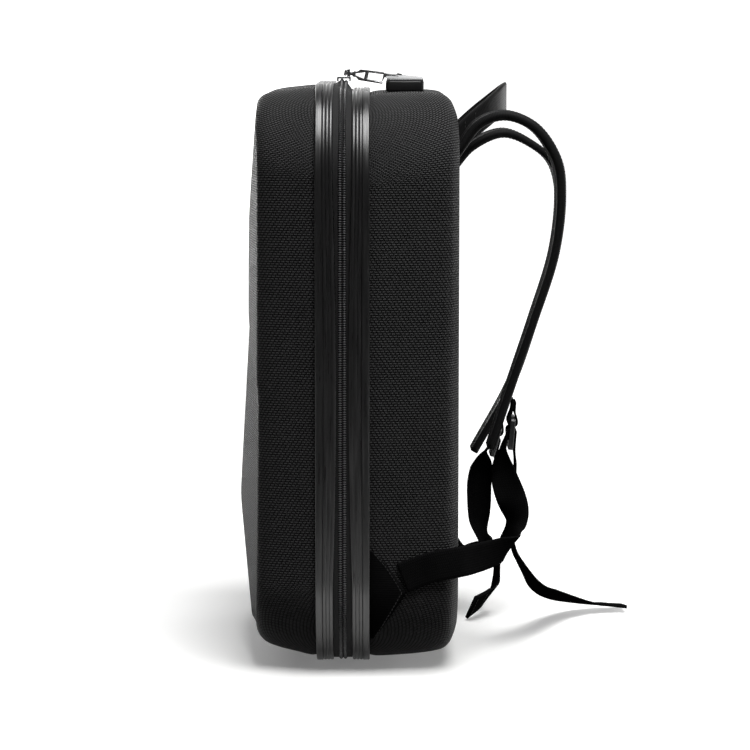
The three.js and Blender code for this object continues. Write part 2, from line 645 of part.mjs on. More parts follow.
// A smooth run through named columns of a table
function smooth(rows, columns, steps) {
  const curve = new THREE.CatmullRomCurve3(rows.map((row) => new THREE.Vector3(...columns(row))));
  return Array.from({ length: steps + 1 }, (_, step) => curve.getPoint(step / steps));
}

function tangents(points) {
  return points.map((_, index) => {
    const before = points[Math.max(index - 1, 0)];
    const after = points[Math.min(index + 1, points.length - 1)];
    return after.clone().sub(before).normalize();
  });
}

// A flat band of even width and thickness along a table of sections, each square to the
// band's run unless the table's own slant is kept
function band(rows, width, thickness, isSquare = true) {
  const steps = (rows.length - 1) * BAND_STEPS;
  const middles = smooth(rows, ({ x, y, z }) => [x, y, z], steps);
  const directions = smooth(rows, ({ head, lean }) => {
    const [turn, tilt] = [radians(head), radians(lean)];
    return [Math.sin(tilt), Math.cos(tilt) * Math.cos(turn), Math.cos(tilt) * Math.sin(turn)];
  }, steps);
  const along = tangents(middles);
  return loft(middles.map((middle, index) => {
    const across = directions[index];
    if (isSquare) across.addScaledVector(along[index], -across.dot(along[index]));
    across.normalize();
    const face = new THREE.Vector3().crossVectors(along[index], across).normalize();
    return [[1, 1], [-1, 1], [-1, -1], [1, -1]].map(([edge, side]) => middle.clone()
      .addScaledVector(across, edge * width / 2)
      .addScaledVector(face, side * thickness / 2));
  }));
}

// Haul handle: the half table and its mirror image
const mirrored = HANDLE_HALF.toReversed().map((row) => ({ ...row, x: -row.x }));
const handleRows = [...HANDLE_HALF, HANDLE_MIDDLE, ...mirrored];
addPiece('haul_handle', band(handleRows, HANDLE_WIDTH, HANDLE_THICKNESS, false), 'webbing');

// Padded strap: rounded sections square to the strap, the first one flat on the back panel
function paddedStrap(rows) {
  const middles = smooth(rows, ({ x, y, z }) => [x, y, z], STRAP_STEPS);
  const sizes = smooth(rows, ({ width, thickness }) => [width, thickness, 0], STRAP_STEPS);
  const along = tangents(middles);
  const acrossX = new THREE.Vector3(1, 0, 0);
  return loft(middles.map((middle, index) => {
    const face = new THREE.Vector3().crossVectors(along[index], acrossX).normalize();
    if (index === 0) face.set(0, 0, Math.sign(face.z) / Math.max(Math.abs(face.z), STRAP_ROOT_SLANT));
    const [half, thick] = [sizes[index].x / 2, sizes[index].y / 2];
    const corner = thick * STRAP_EDGE_SHARE;
    const section = [
      [half, thick - corner], [half - corner, thick], [corner - half, thick], [-half, thick - corner],
      [-half, corner - thick], [corner - half, -thick], [half - corner, -thick], [half, corner - thick],
    ];
    return section.map(([sideways, out]) => middle.clone()
      .addScaledVector(acrossX, sideways).addScaledVector(face, out));
  }));
}

// Ladder buckle: a frame of three bars, lying off the strap's outer face near its end
function buckleGeometry() {
  const { half, slotHalf, bar, midBar, slot, thickness, corner } = BUCKLE;
  const height = midBar / 2 + slot + bar;
  const shape = new THREE.Shape([
    [half - corner, -height], [half, corner - height], [half, height - corner], [half - corner, height],
    [corner - half, height], [-half, height - corner], [-half, corner - height], [corner - half, -height],
  ].map(([x, y]) => new THREE.Vector2(x, y)));
  for (const start of [midBar / 2, -midBar / 2 - slot]) {
    shape.holes.push(taperedHole({ half: slotHalf, endHalf: slotHalf, start, length: slot }));
  }
  const frame = new THREE.ExtrudeGeometry(shape, { depth: thickness, bevelEnabled: false });
  return geometryOf(solid(frame.translate(0, 0, -thickness / 2)));
}

// Place and directions of a buckle, from the last two rows of its strap
function buckleFrame(rows) {
  const [before, end] = rows.slice(-2);
  const slope = Math.atan2(before.z - end.z, before.y - end.y);
  const lift = slope + radians(BUCKLE_PLACE.lean);
  const centre = new THREE.Vector3(end.x, end.y, end.z)
    .addScaledVector(new THREE.Vector3(0, Math.sin(slope), -Math.cos(slope)), BUCKLE_PLACE.out)
    .addScaledVector(new THREE.Vector3(0, Math.cos(slope), Math.sin(slope)), BUCKLE_PLACE.along);
  const up = new THREE.Vector3(0, Math.cos(lift), Math.sin(lift));
  const out = new THREE.Vector3(0, Math.sin(lift), -Math.cos(lift));
  const row = (spot, lean) => {
    const place = centre.clone().addScaledVector(out, spot.out).addScaledVector(up, spot.up);
    return { x: place.x, y: place.y, z: place.z, head: lean > 0 ? 0 : 180, lean };
  };
  return { centre, lift, row };
}

// Anchor tab: a patch on the shell's side, as deep as its table says at each height
function insetAt(profile, depth) {
  const after = profile.findIndex((row) => row.depth >= depth);
  const [low, high] = [profile[after - 1], profile[after]];
  return THREE.MathUtils.mapLinear(depth, low.depth, high.depth, low.inset, high.inset);
}

function onRearShell(side, z, depth, lift) {
  const turn = Math.asin(Math.max(0, CORNER - z) / CORNER);
  const radius = CORNER - insetAt(REAR_PROFILE, depth) + lift;
  const x = WIDTH / 2 - CORNER + radius * Math.cos(turn);
  const height = z > CORNER ? z : CORNER - radius * Math.sin(turn);
  return new THREE.Vector3(side * x, ZIP_Y + depth, height);
}

function anchorTab(side) {
  const start = RIM_OUTER + GAP;
  const [low, high] = [TAB_LIFT, TAB_LIFT + TAB_THICKNESS];
  return loft(TAB_ROWS.map(({ z, reach }) => [
    onRearShell(side, z, start, low), onRearShell(side, z, reach, low),
    onRearShell(side, z, reach, high), onRearShell(side, z, start, high),
  ]));
}

const STRAP_SIDES = [
  { name: 'right', side: 1, strap: RIGHT_STRAP, feed: RIGHT_FEED, tail: RIGHT_TAIL },
  { name: 'left', side: -1, strap: LEFT_STRAP, feed: LEFT_FEED, tail: LEFT_TAIL },
];
for (const { name, side, strap, feed, tail } of STRAP_SIDES) {
  addPiece(`shoulder_strap_${name}`, paddedStrap(strap), 'padding');
  const frame = buckleFrame(strap);
  const buckle = addPiece(`buckle_${name}`, buckleGeometry(), 'plastic');
  buckle.position.copy(frame.centre);
  buckle.rotation.x = frame.lift;
  const loopRows = LOOP_ROUTE.map((spot) => frame.row(spot, 90 * side));
  addPiece(`buckle_loop_${name}`, band(loopRows, WEB_WIDTH, WEB_THICKNESS), 'webbing');
  const turnRows = TURN_ROUTE.map((spot) => frame.row(spot, 90 * side));
  const webRows = [...feed, ...turnRows, ...tail];
  addPiece(`webbing_${name}`, band(webRows, WEB_WIDTH, WEB_THICKNESS), 'webbing');
  addPiece(`anchor_tab_${name}`, anchorTab(side), 'webbing');
}

export default bag;
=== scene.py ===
# Game console backpack: moulded cloth shells with ribbed rims, a zip closed by a lock, padded
# straps and loose webbing. Metres, +Z up, front towards -Y, wearer's right towards +X.
import math

import bpy
import numpy as np
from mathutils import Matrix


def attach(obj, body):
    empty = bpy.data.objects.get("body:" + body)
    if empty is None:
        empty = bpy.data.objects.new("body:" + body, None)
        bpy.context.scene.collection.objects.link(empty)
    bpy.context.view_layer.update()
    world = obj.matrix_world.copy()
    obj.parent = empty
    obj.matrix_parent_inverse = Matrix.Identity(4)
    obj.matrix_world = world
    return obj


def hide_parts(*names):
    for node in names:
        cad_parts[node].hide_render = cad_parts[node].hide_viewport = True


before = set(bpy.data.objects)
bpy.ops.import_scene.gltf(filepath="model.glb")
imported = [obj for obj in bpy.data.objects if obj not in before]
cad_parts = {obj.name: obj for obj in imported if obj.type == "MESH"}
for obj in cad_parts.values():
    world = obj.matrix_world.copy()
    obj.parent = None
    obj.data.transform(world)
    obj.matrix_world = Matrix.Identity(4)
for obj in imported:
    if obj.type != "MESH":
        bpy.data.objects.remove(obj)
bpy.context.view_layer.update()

# Shells
# Two halves of moulded foam board with a black woven cloth bonded on in the mould. The front
# half has a faceted face, and the rear half is a plain tray with a flat back panel.
MM = 0.001
WIDTH = 330 * MM
CORNER = 75 * MM
FRONT_TOP = 481 * MM
REAR_TOP = 475 * MM
ZIP_Y = -19 * MM
RIM_OUTER = 22 * MM
FRONT_RISE = 0.14
REAR_RISE = 0.1
SHELL_GRID = 176
SHELL_FACE_SHARE = 0.42
PROFILE_STEPS = 24
SHELL_WALL = 3 * MM
FACET_SOFTNESS = 0.55 * MM

# Bends of the side wall from the edge to the face: depth from the zip's plane, inset from the rim
FRONT_PROFILE = np.array([
    (9.5, 4.5), (22, 4.5), (26, 4.2), (40, 7.4), (50, 9.8), (56, 11.6), (61, 13.4), (65.5, 16),
    (69, 19.5), (71.8, 24.5), (73.8, 33), (100, 62),
]) * MM
REAR_PROFILE = np.array([
    (9.5, 4.5), (22, 4.5), (26, 3.6), (50, 4.6), (68.5, 6.4), (78.4, 8.2), (83.4, 9.9), (88.3, 14.2),
    (91.6, 21), (94, 28.5), (95, 36), (95, 47), (95, 58),
]) * MM

# Facets of the front face: depth at a point (x, z), its fall outwards and its rise upwards
LOWER_FACETS = [
    (90.4, 0, 125, 0.045, -0.0575), (90.4, 0, 125, 0.06, 0.09), (71.5, 134, 125, 0.17, -0.012),
]
UPPER_FACETS = [
    (80.8, 0, 292, 0.02, -0.0075), (71, 134, 292, 0.15, -0.005),
    (80.2, 0, 372, 0.02, -0.085), (80.8, 0, 292, 0, 0.2),
]


def spline(rows, steps):
    """Centripetal Catmull-Rom curve: each span is a cubic through its two rows, and its end
    slopes come from the neighbouring chords, weighted by the root of their lengths."""
    rows = np.asarray(rows, float)
    ends = np.vstack([2 * rows[0] - rows[1], rows, 2 * rows[-1] - rows[-2]])
    reach = np.sqrt(np.linalg.norm(np.diff(ends, axis=0), axis=1))[:, None]
    none = 1e-4
    span = np.where(reach[1:-1] < none, 1, reach[1:-1])
    before = np.where(reach[:-2] < none, span, reach[:-2])
    after = np.where(reach[2:] < none, span, reach[2:])
    p0, p1, p2, p3 = ends[:-3], ends[1:-2], ends[2:-1], ends[3:]
    leave = ((p1 - p0) / before - (p2 - p0) / (before + span) + (p2 - p1) / span) * span
    arrive = ((p2 - p1) / span - (p3 - p1) / (span + after) + (p3 - p2) / after) * span
    p1, p2, leave, arrive = (part[:, None] for part in (p1, p2, leave, arrive))
    t = (np.arange(steps) / steps)[None, :, None]
    curve = p1 + t * leave + t**2 * (3 * (p2 - p1) - 2 * leave - arrive)
    curve = curve + t**3 * (2 * (p1 - p2) + leave + arrive)
    return np.vstack([curve.reshape(-1, rows.shape[1]), rows[-1:]])


def around(a, b, inset, top):
    """Point and outward direction on the rounded outline at an inset. (a, b) is a point on the
    edge of a square from -1 to 1: the middle of each side is a straight run, its ends are arcs."""
    radius = CORNER - inset
    half_x, half_z = WIDTH / 2 - CORNER, top / 2 - CORNER
    is_side = np.abs(a) >= np.abs(b)
    straight = np.where(is_side, half_z, half_x)
    share = straight / (straight + CORNER * math.pi / 4)
    along = np.where(is_side, b, a)
    turn = np.clip((np.abs(along) - share) / (1 - share), 0, 1) * math.pi / 4
    run = np.sign(along) * (straight * np.minimum(np.abs(along) / share, 1) + radius * np.sin(turn))
    out = np.where(is_side, half_x, half_z) + radius * np.cos(turn)
    x = np.where(is_side, np.sign(a) * out, run)
    z = np.where(is_side, run, np.sign(b) * out)
    normal_x = np.where(is_side, np.sign(a) * np.cos(turn), np.sign(along) * np.sin(turn))
    normal_z = np.where(is_side, np.sign(along) * np.sin(turn), np.sign(b) * np.cos(turn))
    return x, top / 2 + z, normal_x, normal_z


def soft_least(values):
    """The least of several fields, with its creases rounded: minus the log of summed powers."""
    stack = np.stack(values) / FACET_SOFTNESS
    least = stack.min(0)
    return FACET_SOFTNESS * (least - np.log(np.exp(least - stack).sum(0)))


def facet_depths(facets, x, z):
    """Each facet is a plane: its depth falls with the distance from the middle and rises with z."""
    return [
        depth * MM - fall * (np.abs(x) - x0 * MM) + rise * (z - z0 * MM)
        for depth, x0, z0, fall, rise in facets
    ]


def shell_grid(profile, top, rise):
    """A square grid over the shell: its outer rings walk along the side wall's profile, and its
    inner rings are the face's edge drawn together. The top rises evenly away from the rim.
    Returns x, z, depth and the cloth's place."""
    u, v = np.meshgrid(*[np.linspace(-1, 1, SHELL_GRID + 1)] * 2, indexing="ij")
    ring = np.maximum(np.maximum(np.abs(u), np.abs(v)), 1e-9)
    curve = spline(profile, PROFILE_STEPS)
    steps = np.linalg.norm(np.diff(curve, axis=0), axis=1)
    arc = np.concatenate([[0], np.cumsum(steps)])
    walk = np.clip((1 - ring) / (1 - SHELL_FACE_SHARE), 0, 1) * arc[-1]
    depth = np.interp(walk, arc, curve[:, 0])
    inset = np.interp(walk, arc, curve[:, 1])
    top = top + rise * np.maximum(0, depth - RIM_OUTER)
    x, z, normal_x, normal_z = around(u / ring, v / ring, inset, top)
    shrink = np.minimum(ring / SHELL_FACE_SHARE, 1)
    x, z = x * shrink, top / 2 + (z - top / 2) * shrink
    spare = (arc[-1] - walk) - (curve[-1, 1] - inset)
    cloth = np.stack([x + normal_x * spare, z + normal_z * spare], -1)
    return x, z, depth, cloth


def mesh_piece(name, points, faces, corner_uv=None):
    """A smooth mesh from points and faces, turned so that its faces point outwards."""
    points = np.asarray(points, float).reshape(-1, 3)
    corners = [points[[face[k] for face in faces]] for k in range(3)]
    first, second, third = np.array(corners) - points.mean(0)
    volume = np.einsum("ij,ij->", first, np.cross(second, third))
    if volume < 0:
        faces = [face[::-1] for face in faces]
        corner_uv = corner_uv and [row[::-1] for row in corner_uv]
    mesh = bpy.data.meshes.new(name)
    mesh.from_pydata(points.tolist(), [], faces)
    mesh.polygons.foreach_set("use_smooth", np.ones(len(faces), bool))
    if corner_uv:
        flat = [value for row in corner_uv for place in row for value in place]
        mesh.uv_layers.new(name="cloth").data.foreach_set("uv", flat)
    mesh.update()
    piece = bpy.data.objects.new(name, mesh)
    bpy.context.scene.collection.objects.link(piece)
    return piece


def grid_faces(shape, is_row_loop=False, is_column_loop=False, has_ends=False):
    """Quads of a grid of points, as indices of its points and of its cloth places, which have one
    more row or column where the grid closes on itself. The ends of a tube may be closed too."""
    rows, columns = shape
    i, j = np.meshgrid(np.arange(rows - 1 + is_row_loop), np.arange(columns - 1 + is_column_loop))
    corners = [(i, j), (i + 1, j), (i + 1, j + 1), (i, j + 1)]
    quads = np.stack([(a % rows * columns + b % columns).ravel() for a, b in corners], 1).tolist()
    wide = columns + is_column_loop
    places = np.stack([(a * wide + b).ravel() for a, b in corners], 1).tolist()
    if has_ends:
        first = list(range(columns))
        last = [(rows - 1) * columns + column for column in first]
        quads += [first, last[::-1]]
        places += [first, [(rows - 1) * wide + column for column in first[::-1]]]
    return quads, places


def grid_piece(name, points, cloth=None, **closing):
    """A mesh from a grid of points, with each corner's place on the cloth."""
    faces, places = grid_faces(points.shape[:2], **closing)
    corner_uv = None
    if cloth is not None:
        flat = cloth.reshape(-1, 2)
        corner_uv = [[tuple(flat[place]) for place in row] for row in places]
    return mesh_piece(name, points, faces, corner_uv)


def fit(piece, material, slot, *nodes, body="bag"):
    """Gives a piece its finish and the body that it moves with, and hides the plain solids it stands
    for.
    """
    piece.data.materials.clear()
    piece.data.materials.append(material)
    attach(piece, body)
    if nodes:
        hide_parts(*nodes)
    return piece


class Shade:
    """A value in a material's node tree. Arithmetic on it adds Math nodes to the tree."""

    def __init__(self, tree, socket=None):
        self.tree = tree
        self.socket = socket

    def node(self, kind, settings, sockets, output=0):
        """Adds a node: its settings are set first, then its sockets are filled or linked."""
        node = self.tree.nodes.new(kind)
        for key, setting in settings.items():
            setattr(node, key, setting)
        for key, value in sockets.items():
            if isinstance(value, Shade):
                self.tree.links.new(value.socket, node.inputs[key])
            else:
                node.inputs[key].default_value = value
        return Shade(self.tree, node.outputs[output])

    def math(self, operation, *values):
        return self.node("ShaderNodeMath", {"operation": operation}, dict(enumerate(values)))

    def __add__(self, other):
        return self.math("ADD", self, other)

    def __sub__(self, other):
        return self.math("SUBTRACT", self, other)

    def __rsub__(self, other):
        return self.math("SUBTRACT", other, self)

    def __mul__(self, other):
        return self.math("MULTIPLY", self, other)

    def __truediv__(self, other):
        return self.math("DIVIDE", self, other)

    __radd__ = __add__
    __rmul__ = __mul__

    def clipped(self):
        """The value held between 0 and 1."""
        return self.node("ShaderNodeClamp", {}, {"Value": self})

    def wave(self):
        """A hump for each whole step of the value: the sine of half a turn."""
        return self.math("SINE", self.math("FRACT", self) * math.pi)

    def noise(self, scale, detail=2):
        """Even grain between 0 and 1 at a place given as a vector."""
        return self.node(
            "ShaderNodeTexNoise", {}, {"Vector": self, "Scale": scale, "Detail": detail}
        )

    def drawn_out(self, scale):
        """Grain with its own scale along each axis of a place, so that it runs in lines."""
        stretch = self.node("ShaderNodeMapping", {}, {"Vector": self, "Scale": scale})
        return stretch.noise(1.0, 3)

    def colour(self, dark, light):
        """A mix of two greys or colours by this value."""
        settings = {"data_type": "RGBA"}
        sockets = {0: self, 6: (*dark, 1), 7: (*light, 1)}
        return self.node("ShaderNodeMix", settings, sockets, output=2)

    def parts(self):
        """The first two numbers of a vector."""
        split = self.node("ShaderNodeSeparateXYZ", {}, {"Vector": self})
        return split, Shade(self.tree, split.socket.node.outputs[1])


def new_finish(name, **constants):
    """A material with one shader, whose even values are set here. Returns it with two vectors:
    the place in the object and the place on the cloth."""
    material = bpy.data.materials.new(name)
    material.use_nodes = True
    tree = material.node_tree
    shader = tree.nodes["Principled BSDF"]
    for key, value in constants.items():
        shader.inputs[key.replace("_", " ").title().replace("Ior", "IOR")].default_value = value
    start = Shade(tree)
    place = start.node("ShaderNodeTexCoord", {}, {}, output=3)
    cloth = start.node("ShaderNodeUVMap", {"uv_map": "cloth"}, {})
    return material, place, cloth


def set_finish(material, colour, roughness, height=None, strength=0.3, distance=0.2 * MM):
    """Links what varies over a surface: its colour, its roughness and the relief of its grain."""
    tree = material.node_tree
    shader = tree.nodes["Principled BSDF"]
    tree.links.new(colour.socket, shader.inputs["Base Color"])
    tree.links.new(roughness.socket, shader.inputs["Roughness"])
    if height is not None:
        sockets = {"Strength": strength, "Distance": distance, "Height": height}
        relief = height.node("ShaderNodeBump", {}, sockets)
        tree.links.new(relief.socket, shader.inputs["Normal"])
    return material


def shell_cloth():
    """Weave of short floats in rows, each row shifted so that they run in slanting lines."""
    row_pitch, float_pitch, row_shift, float_fullness = 2.0 * MM, 3.6 * MM, -0.36, 1.7
    material, place, cloth = new_finish(
        "shell_cloth", sheen_weight=0.02, sheen_roughness=0.4, specular_ior_level=0.03)
    u, v = cloth.parts()
    rows = v / row_pitch
    crown = rows.wave()
    dash = (u / float_pitch + rows.math("FLOOR", rows) * row_shift).wave()
    height = crown * dash.math("MINIMUM", dash * float_fullness, 1)
    mottle = place.noise(38, 3)
    fuzz = place.noise(2600, 2)
    # Painted highlight on the floats' crowns and painted shade in the hollows between them, over a
    # random mottle and fuzz
    tone_and_hollow_shade = height * height * 0.8 + mottle * 0.12 + fuzz * 0.08
    colour = tone_and_hollow_shade.colour((0.0008, 0.0008, 0.0009), (0.078, 0.078, 0.0788))
    roughness = 0.68 - height * 0.26 + mottle * 0.06
    relief = height + fuzz * 0.25
    return set_finish(material, colour, roughness, relief, strength=1.0, distance=0.5 * MM)


shell_finish = shell_cloth()

x, z, depth, cloth = shell_grid(FRONT_PROFILE, FRONT_TOP, FRONT_RISE)
lower = soft_least([depth] + facet_depths(LOWER_FACETS, x, z))
upper = soft_least([depth] + facet_depths(UPPER_FACETS, x, z))
depth = -soft_least([-lower, -upper])
front_shell = grid_piece("moulded_front", np.stack([x, ZIP_Y - depth, z], -1), cloth)

x, z, depth, cloth = shell_grid(REAR_PROFILE, REAR_TOP, REAR_RISE)
rear_shell = grid_piece("moulded_rear", np.stack([x, ZIP_Y + depth, z], -1), cloth)

for shell, node in [(front_shell, "front_shell"), (rear_shell, "rear_shell")]:
    wall = shell.modifiers.new("wall", "SOLIDIFY")
    wall.thickness = SHELL_WALL
    fit(shell, shell_finish, "shell_cloth", node)

# Rims
# A glossy black extruded trim round the edge of each half, sewn over the shell's edge: a broad
# land beside the shell and three rounded ribs towards the zip.
RIM_INNER = 7.9 * MM
RIM_BOW = 2.6 * MM
RIM_BASE = 4.2 * MM
RIM_EDGE_SHARE = 0.07
RIM_EDGE_DROP = 1.1 * MM
RIM_LAND = 0.4
LAND_SPAN = (0.09, RIM_LAND - 0.03)
LAND_CROWN = 0.12 * MM
LAND_CREST = 0.55
RIB_COUNT = 3
RIB_GROOVE = 0.75 * MM
RIB_CREST = 0.15 * MM
RIB_POWER = 2.6
EDGE_POINTS, LAND_POINTS, RIB_POINTS = 6, 8, 13
OUTLINE_STEPS = 320
CREASE = math.radians(50)


def square_edge(count):
    """Points evenly round the edge of a square from -1 to 1, in four runs of count points each."""
    run = np.arange(count) / count * 2 - 1
    one = np.ones(count)
    a = np.concatenate([one, -run, -one, run])
    b = np.concatenate([run, one, -run, -one])
    return a, b


def bow_at(z):
    """How far the rims close in on each other: 1 at mid height, falling as a parabola to 0."""
    along = (z - REAR_TOP / 2) / (REAR_TOP / 2 - CORNER)
    return np.maximum(0, 1 - along**2)


def rim_section():
    """Share of the width and inset: a rounded edge, a land with a slight crown, then ribs whose
    flanks fall as a power of the distance from the crest."""
    edge = np.linspace(0, math.pi / 2, EDGE_POINTS)
    edge_share = RIM_EDGE_SHARE * (1 - np.cos(edge))
    edge_inset = RIM_EDGE_DROP * (1 - np.sin(edge))
    land_share = np.linspace(*LAND_SPAN, LAND_POINTS)
    land_inset = LAND_CROWN * np.abs(2 * (land_share / RIM_LAND - LAND_CREST))**3
    crest = np.linspace(-1, 1, RIB_POINTS)
    ribs = np.arange(RIB_COUNT)[:, None] + 0.5 + crest / 2
    rib_share = RIM_LAND + ribs * (1 - RIM_LAND) / RIB_COUNT
    rib_inset = np.tile(RIB_CREST + (RIB_GROOVE - RIB_CREST) * np.abs(crest)**RIB_POWER, (RIB_COUNT, 1))
    share = np.concatenate([[0], edge_share, land_share, rib_share.ravel(), [1]])
    inset = np.concatenate([[RIM_BASE], edge_inset, land_inset, rib_inset.ravel(), [RIM_BASE]])
    return share, inset


def rim_points(side, top):
    """The section carried round the outline; its zip side bows towards the zip at mid height."""
    a, b = square_edge(OUTLINE_STEPS // 4)
    share, inset = rim_section()
    x, z, _, _ = around(a[:, None], b[:, None], inset[None, :], top)
    width = RIM_OUTER - RIM_INNER + RIM_BOW * bow_at(z)
    y = ZIP_Y + side * (RIM_OUTER - share[None, :] * width)
    return np.stack([x, y, z], -1)


def rim_gloss():
    """Smooth black trim: a gloss drawn into fine lines along the trim, with a soft unevenness."""
    material, place, _ = new_finish("rim_trim", specular_ior_level=0.8)
    rub = place.drawn_out((20, 620, 20))
    cloudy = place.noise(30)
    colour = cloudy.colour((0.004, 0.004, 0.0042), (0.009, 0.009, 0.0095))
    return set_finish(material, colour, 0.2 + rub * rub * 0.6, rub, strength=0.03)


rim_finish = rim_gloss()
for name, side, top in [("front_rim", -1, FRONT_TOP), ("rear_rim", 1, REAR_TOP)]:
    trim = grid_piece(f"ribbed_{name}", rim_points(side, top), is_row_loop=True, is_column_loop=True)
    trim.data.set_sharp_from_angle(angle=CREASE)
    fit(trim, rim_finish, "rim_trim", name)

# Zip
# A woven tape sewn under both rims, and the interlocked teeth of a closed moulded chain on its
# middle. On top of the bag the sliders pull the chain up a little.
GAP = 0.3 * MM
TAPE_OUTER = 2.2 * MM
TAPE_INNER = 6.4 * MM
TAPE_COLUMNS = 15
ZIP_LIFT = 6 * MM
ZIP_LIFT_REACH = 45 * MM
TOOTH_PITCH = 1.9 * MM
TOOTH = {"length": 2.9 * MM, "width": 1.0 * MM, "height": 1.25 * MM, "shift": 1.75 * MM}
TOOTH_BASE = 1.95 * MM
CHAIN_STEPS = 2000


def zip_place(a, b, across, inset):
    """Point on the zip: across is the distance from its middle. The two halves' tops differ, so
    it slopes between them, and a bell curve lifts its middle on top of the bag."""
    share = np.clip(across / (2 * RIM_INNER) + 0.5, 0, 1)
    x, z, normal_x, normal_z = around(a, b, inset, FRONT_TOP + (REAR_TOP - FRONT_TOP) * share)
    lift = np.where(z > REAR_TOP / 2, ZIP_LIFT * np.exp(-(x / ZIP_LIFT_REACH)**2), 0)
    z = z + lift * (1 - (across / (RIM_INNER - GAP))**2)
    return np.stack([x, ZIP_Y + across, z], -1), normal_x, normal_z


def tape_points():
    """A flat closed section between the rims, carried round the outline."""
    a, b = square_edge(OUTLINE_STEPS // 4)
    share = np.concatenate([np.linspace(-1, 1, TAPE_COLUMNS), np.linspace(1, -1, TAPE_COLUMNS)])
    inset = np.repeat([TAPE_OUTER, TAPE_INNER], TAPE_COLUMNS)
    _, z, _, _ = around(a, b, TAPE_OUTER, REAR_TOP)
    half = RIM_INNER - GAP - RIM_BOW * bow_at(z)
    points, _, _ = zip_place(a[:, None], b[:, None], share[None, :] * half[:, None], inset[None, :])
    return points


def loop_lengths(points):
    """Distance along a closed run of points, with a row more than the points for the way back."""
    steps = np.linalg.norm(np.diff(points, axis=0, append=points[:1]), axis=1)
    return np.concatenate([[0], np.cumsum(steps)])


def cloth_places(points):
    """Each point's place on the cloth: the distance across the run and the distance along it."""
    return np.stack(np.meshgrid(loop_lengths(points[0]), loop_lengths(points[:, 0])), -1)


def tape_cloth():
    """Fine herringbone: slanting ribs that turn round at every third thread."""
    turn_width, rib_pitch = 1.2 * MM, 0.9 * MM
    material, place, cloth = new_finish("zip_tape", sheen_weight=0.02, specular_ior_level=0.2)
    u, v = cloth.parts()
    slant = u.math("PINGPONG", u, turn_width)
    height = ((v + slant) / rib_pitch).wave()
    grain = place.noise(900)
    # Painted shade: the hollows between the ribs are darker, over a random grain
    colour = (height * 0.7 + grain * 0.3).colour((0.0015, 0.0015, 0.0016), (0.02, 0.02, 0.0205))
    return set_finish(material, colour, 0.8 - height * 0.15, height, strength=0.5)


def pill(length, width, height, rings=4, sides=6):
    """A small rounded bar along Y that lies on its flat side: its sections shrink to its ends."""
    end = np.linspace(-1, 1, rings)
    fullness = 1.08
    swell = np.sqrt(fullness - np.abs(end)**3)[:, None]
    turn = np.linspace(0, math.pi, sides)[None, :]
    x = np.cos(turn) * width / 2 * swell
    z = np.sin(turn) * height * swell
    y = np.repeat(end[:, None] * length / 2, sides, 1)
    faces, _ = grid_faces((rings, sides), is_column_loop=True, has_ends=True)
    return np.stack([x, y, z], -1).reshape(-1, 3), faces


def repeated(name, shape, origins, axes):
    """Copies of a small shape: each has an origin and three axes, one row each, for X, Y and Z."""
    points, faces = shape
    places = origins[:, None] + np.einsum("pk,nkc->npc", points, axes)
    shift = (np.arange(len(origins)) * len(points)).tolist()
    every = [[corner + start for corner in face] for start in shift for face in faces]
    return mesh_piece(name, places, every)


def chain_teeth():
    """Teeth at even steps round the zip, in turn from the front half and from the rear half."""
    a, b = square_edge(CHAIN_STEPS)
    run, normal_x, normal_z = zip_place(a, b, np.zeros(len(a)), TOOTH_BASE)
    lengths = loop_lengths(run)
    count = 2 * int(lengths[-1] / TOOTH_PITCH)
    at = np.arange(count) / count * lengths[-1]
    nearest = np.minimum(np.searchsorted(lengths, at), len(run) - 1)
    side = np.where(np.arange(count) % 2, 1, -1)
    across = side * TOOTH["shift"]
    origins, normal_x, normal_z = zip_place(a[nearest], b[nearest], across, TOOTH_BASE)
    along = np.stack([-normal_z, np.zeros(count), normal_x], -1)
    width = np.tile([0.0, 1.0, 0.0], (count, 1))
    out = np.stack([normal_x, np.zeros(count), normal_z], -1)
    shape = pill(TOOTH["length"], TOOTH["width"], TOOTH["height"])
    return repeated("zip_teeth", shape, origins, np.stack([along, width, out], 1))


def tooth_grey():
    """Grey moulded teeth with a metallic look, darker in patches where they have rubbed."""
    material, place, _ = new_finish("zip_coil", metallic=0.55, specular_ior_level=0.5)
    rub = place.noise(420, 3)
    colour = rub.colour((0.05, 0.05, 0.051), (0.19, 0.19, 0.193))
    return set_finish(material, colour, 0.26 + rub * 0.2)


points = tape_points()
tape = grid_piece("woven_tape", points, cloth_places(points), is_row_loop=True, is_column_loop=True)
tape.data.set_sharp_from_angle(angle=CREASE)
fit(tape, tape_cloth(), "zip_tape", "zip_tape")
fit(chain_teeth(), tooth_grey(), "zip_coil", "zip_coil")

# Sliders, pulls and lock
# Polished zinc sliders and pulls, whose tongues drop into a lock: a black moulded body with a
# satin metal cover and three turning dials on a hidden pin.
BEVELS = {
    "slider_right": 0.7 * MM, "slider_left": 0.7 * MM, "pull_right": 0.45 * MM, "pull_left": 0.45 * MM,
    "lock_body": 0.8 * MM, "lock_cover": 0.6 * MM, "lock_pin": 0.2 * MM,
    "lock_dial_1": 0.3 * MM, "lock_dial_2": 0.3 * MM, "lock_dial_3": 0.3 * MM,
}
BEVEL_STEPS = 3
BEVEL_ANGLE = math.radians(32)
FLAT_ANGLE = math.radians(2)
MERGE_REACH = 0.01 * MM


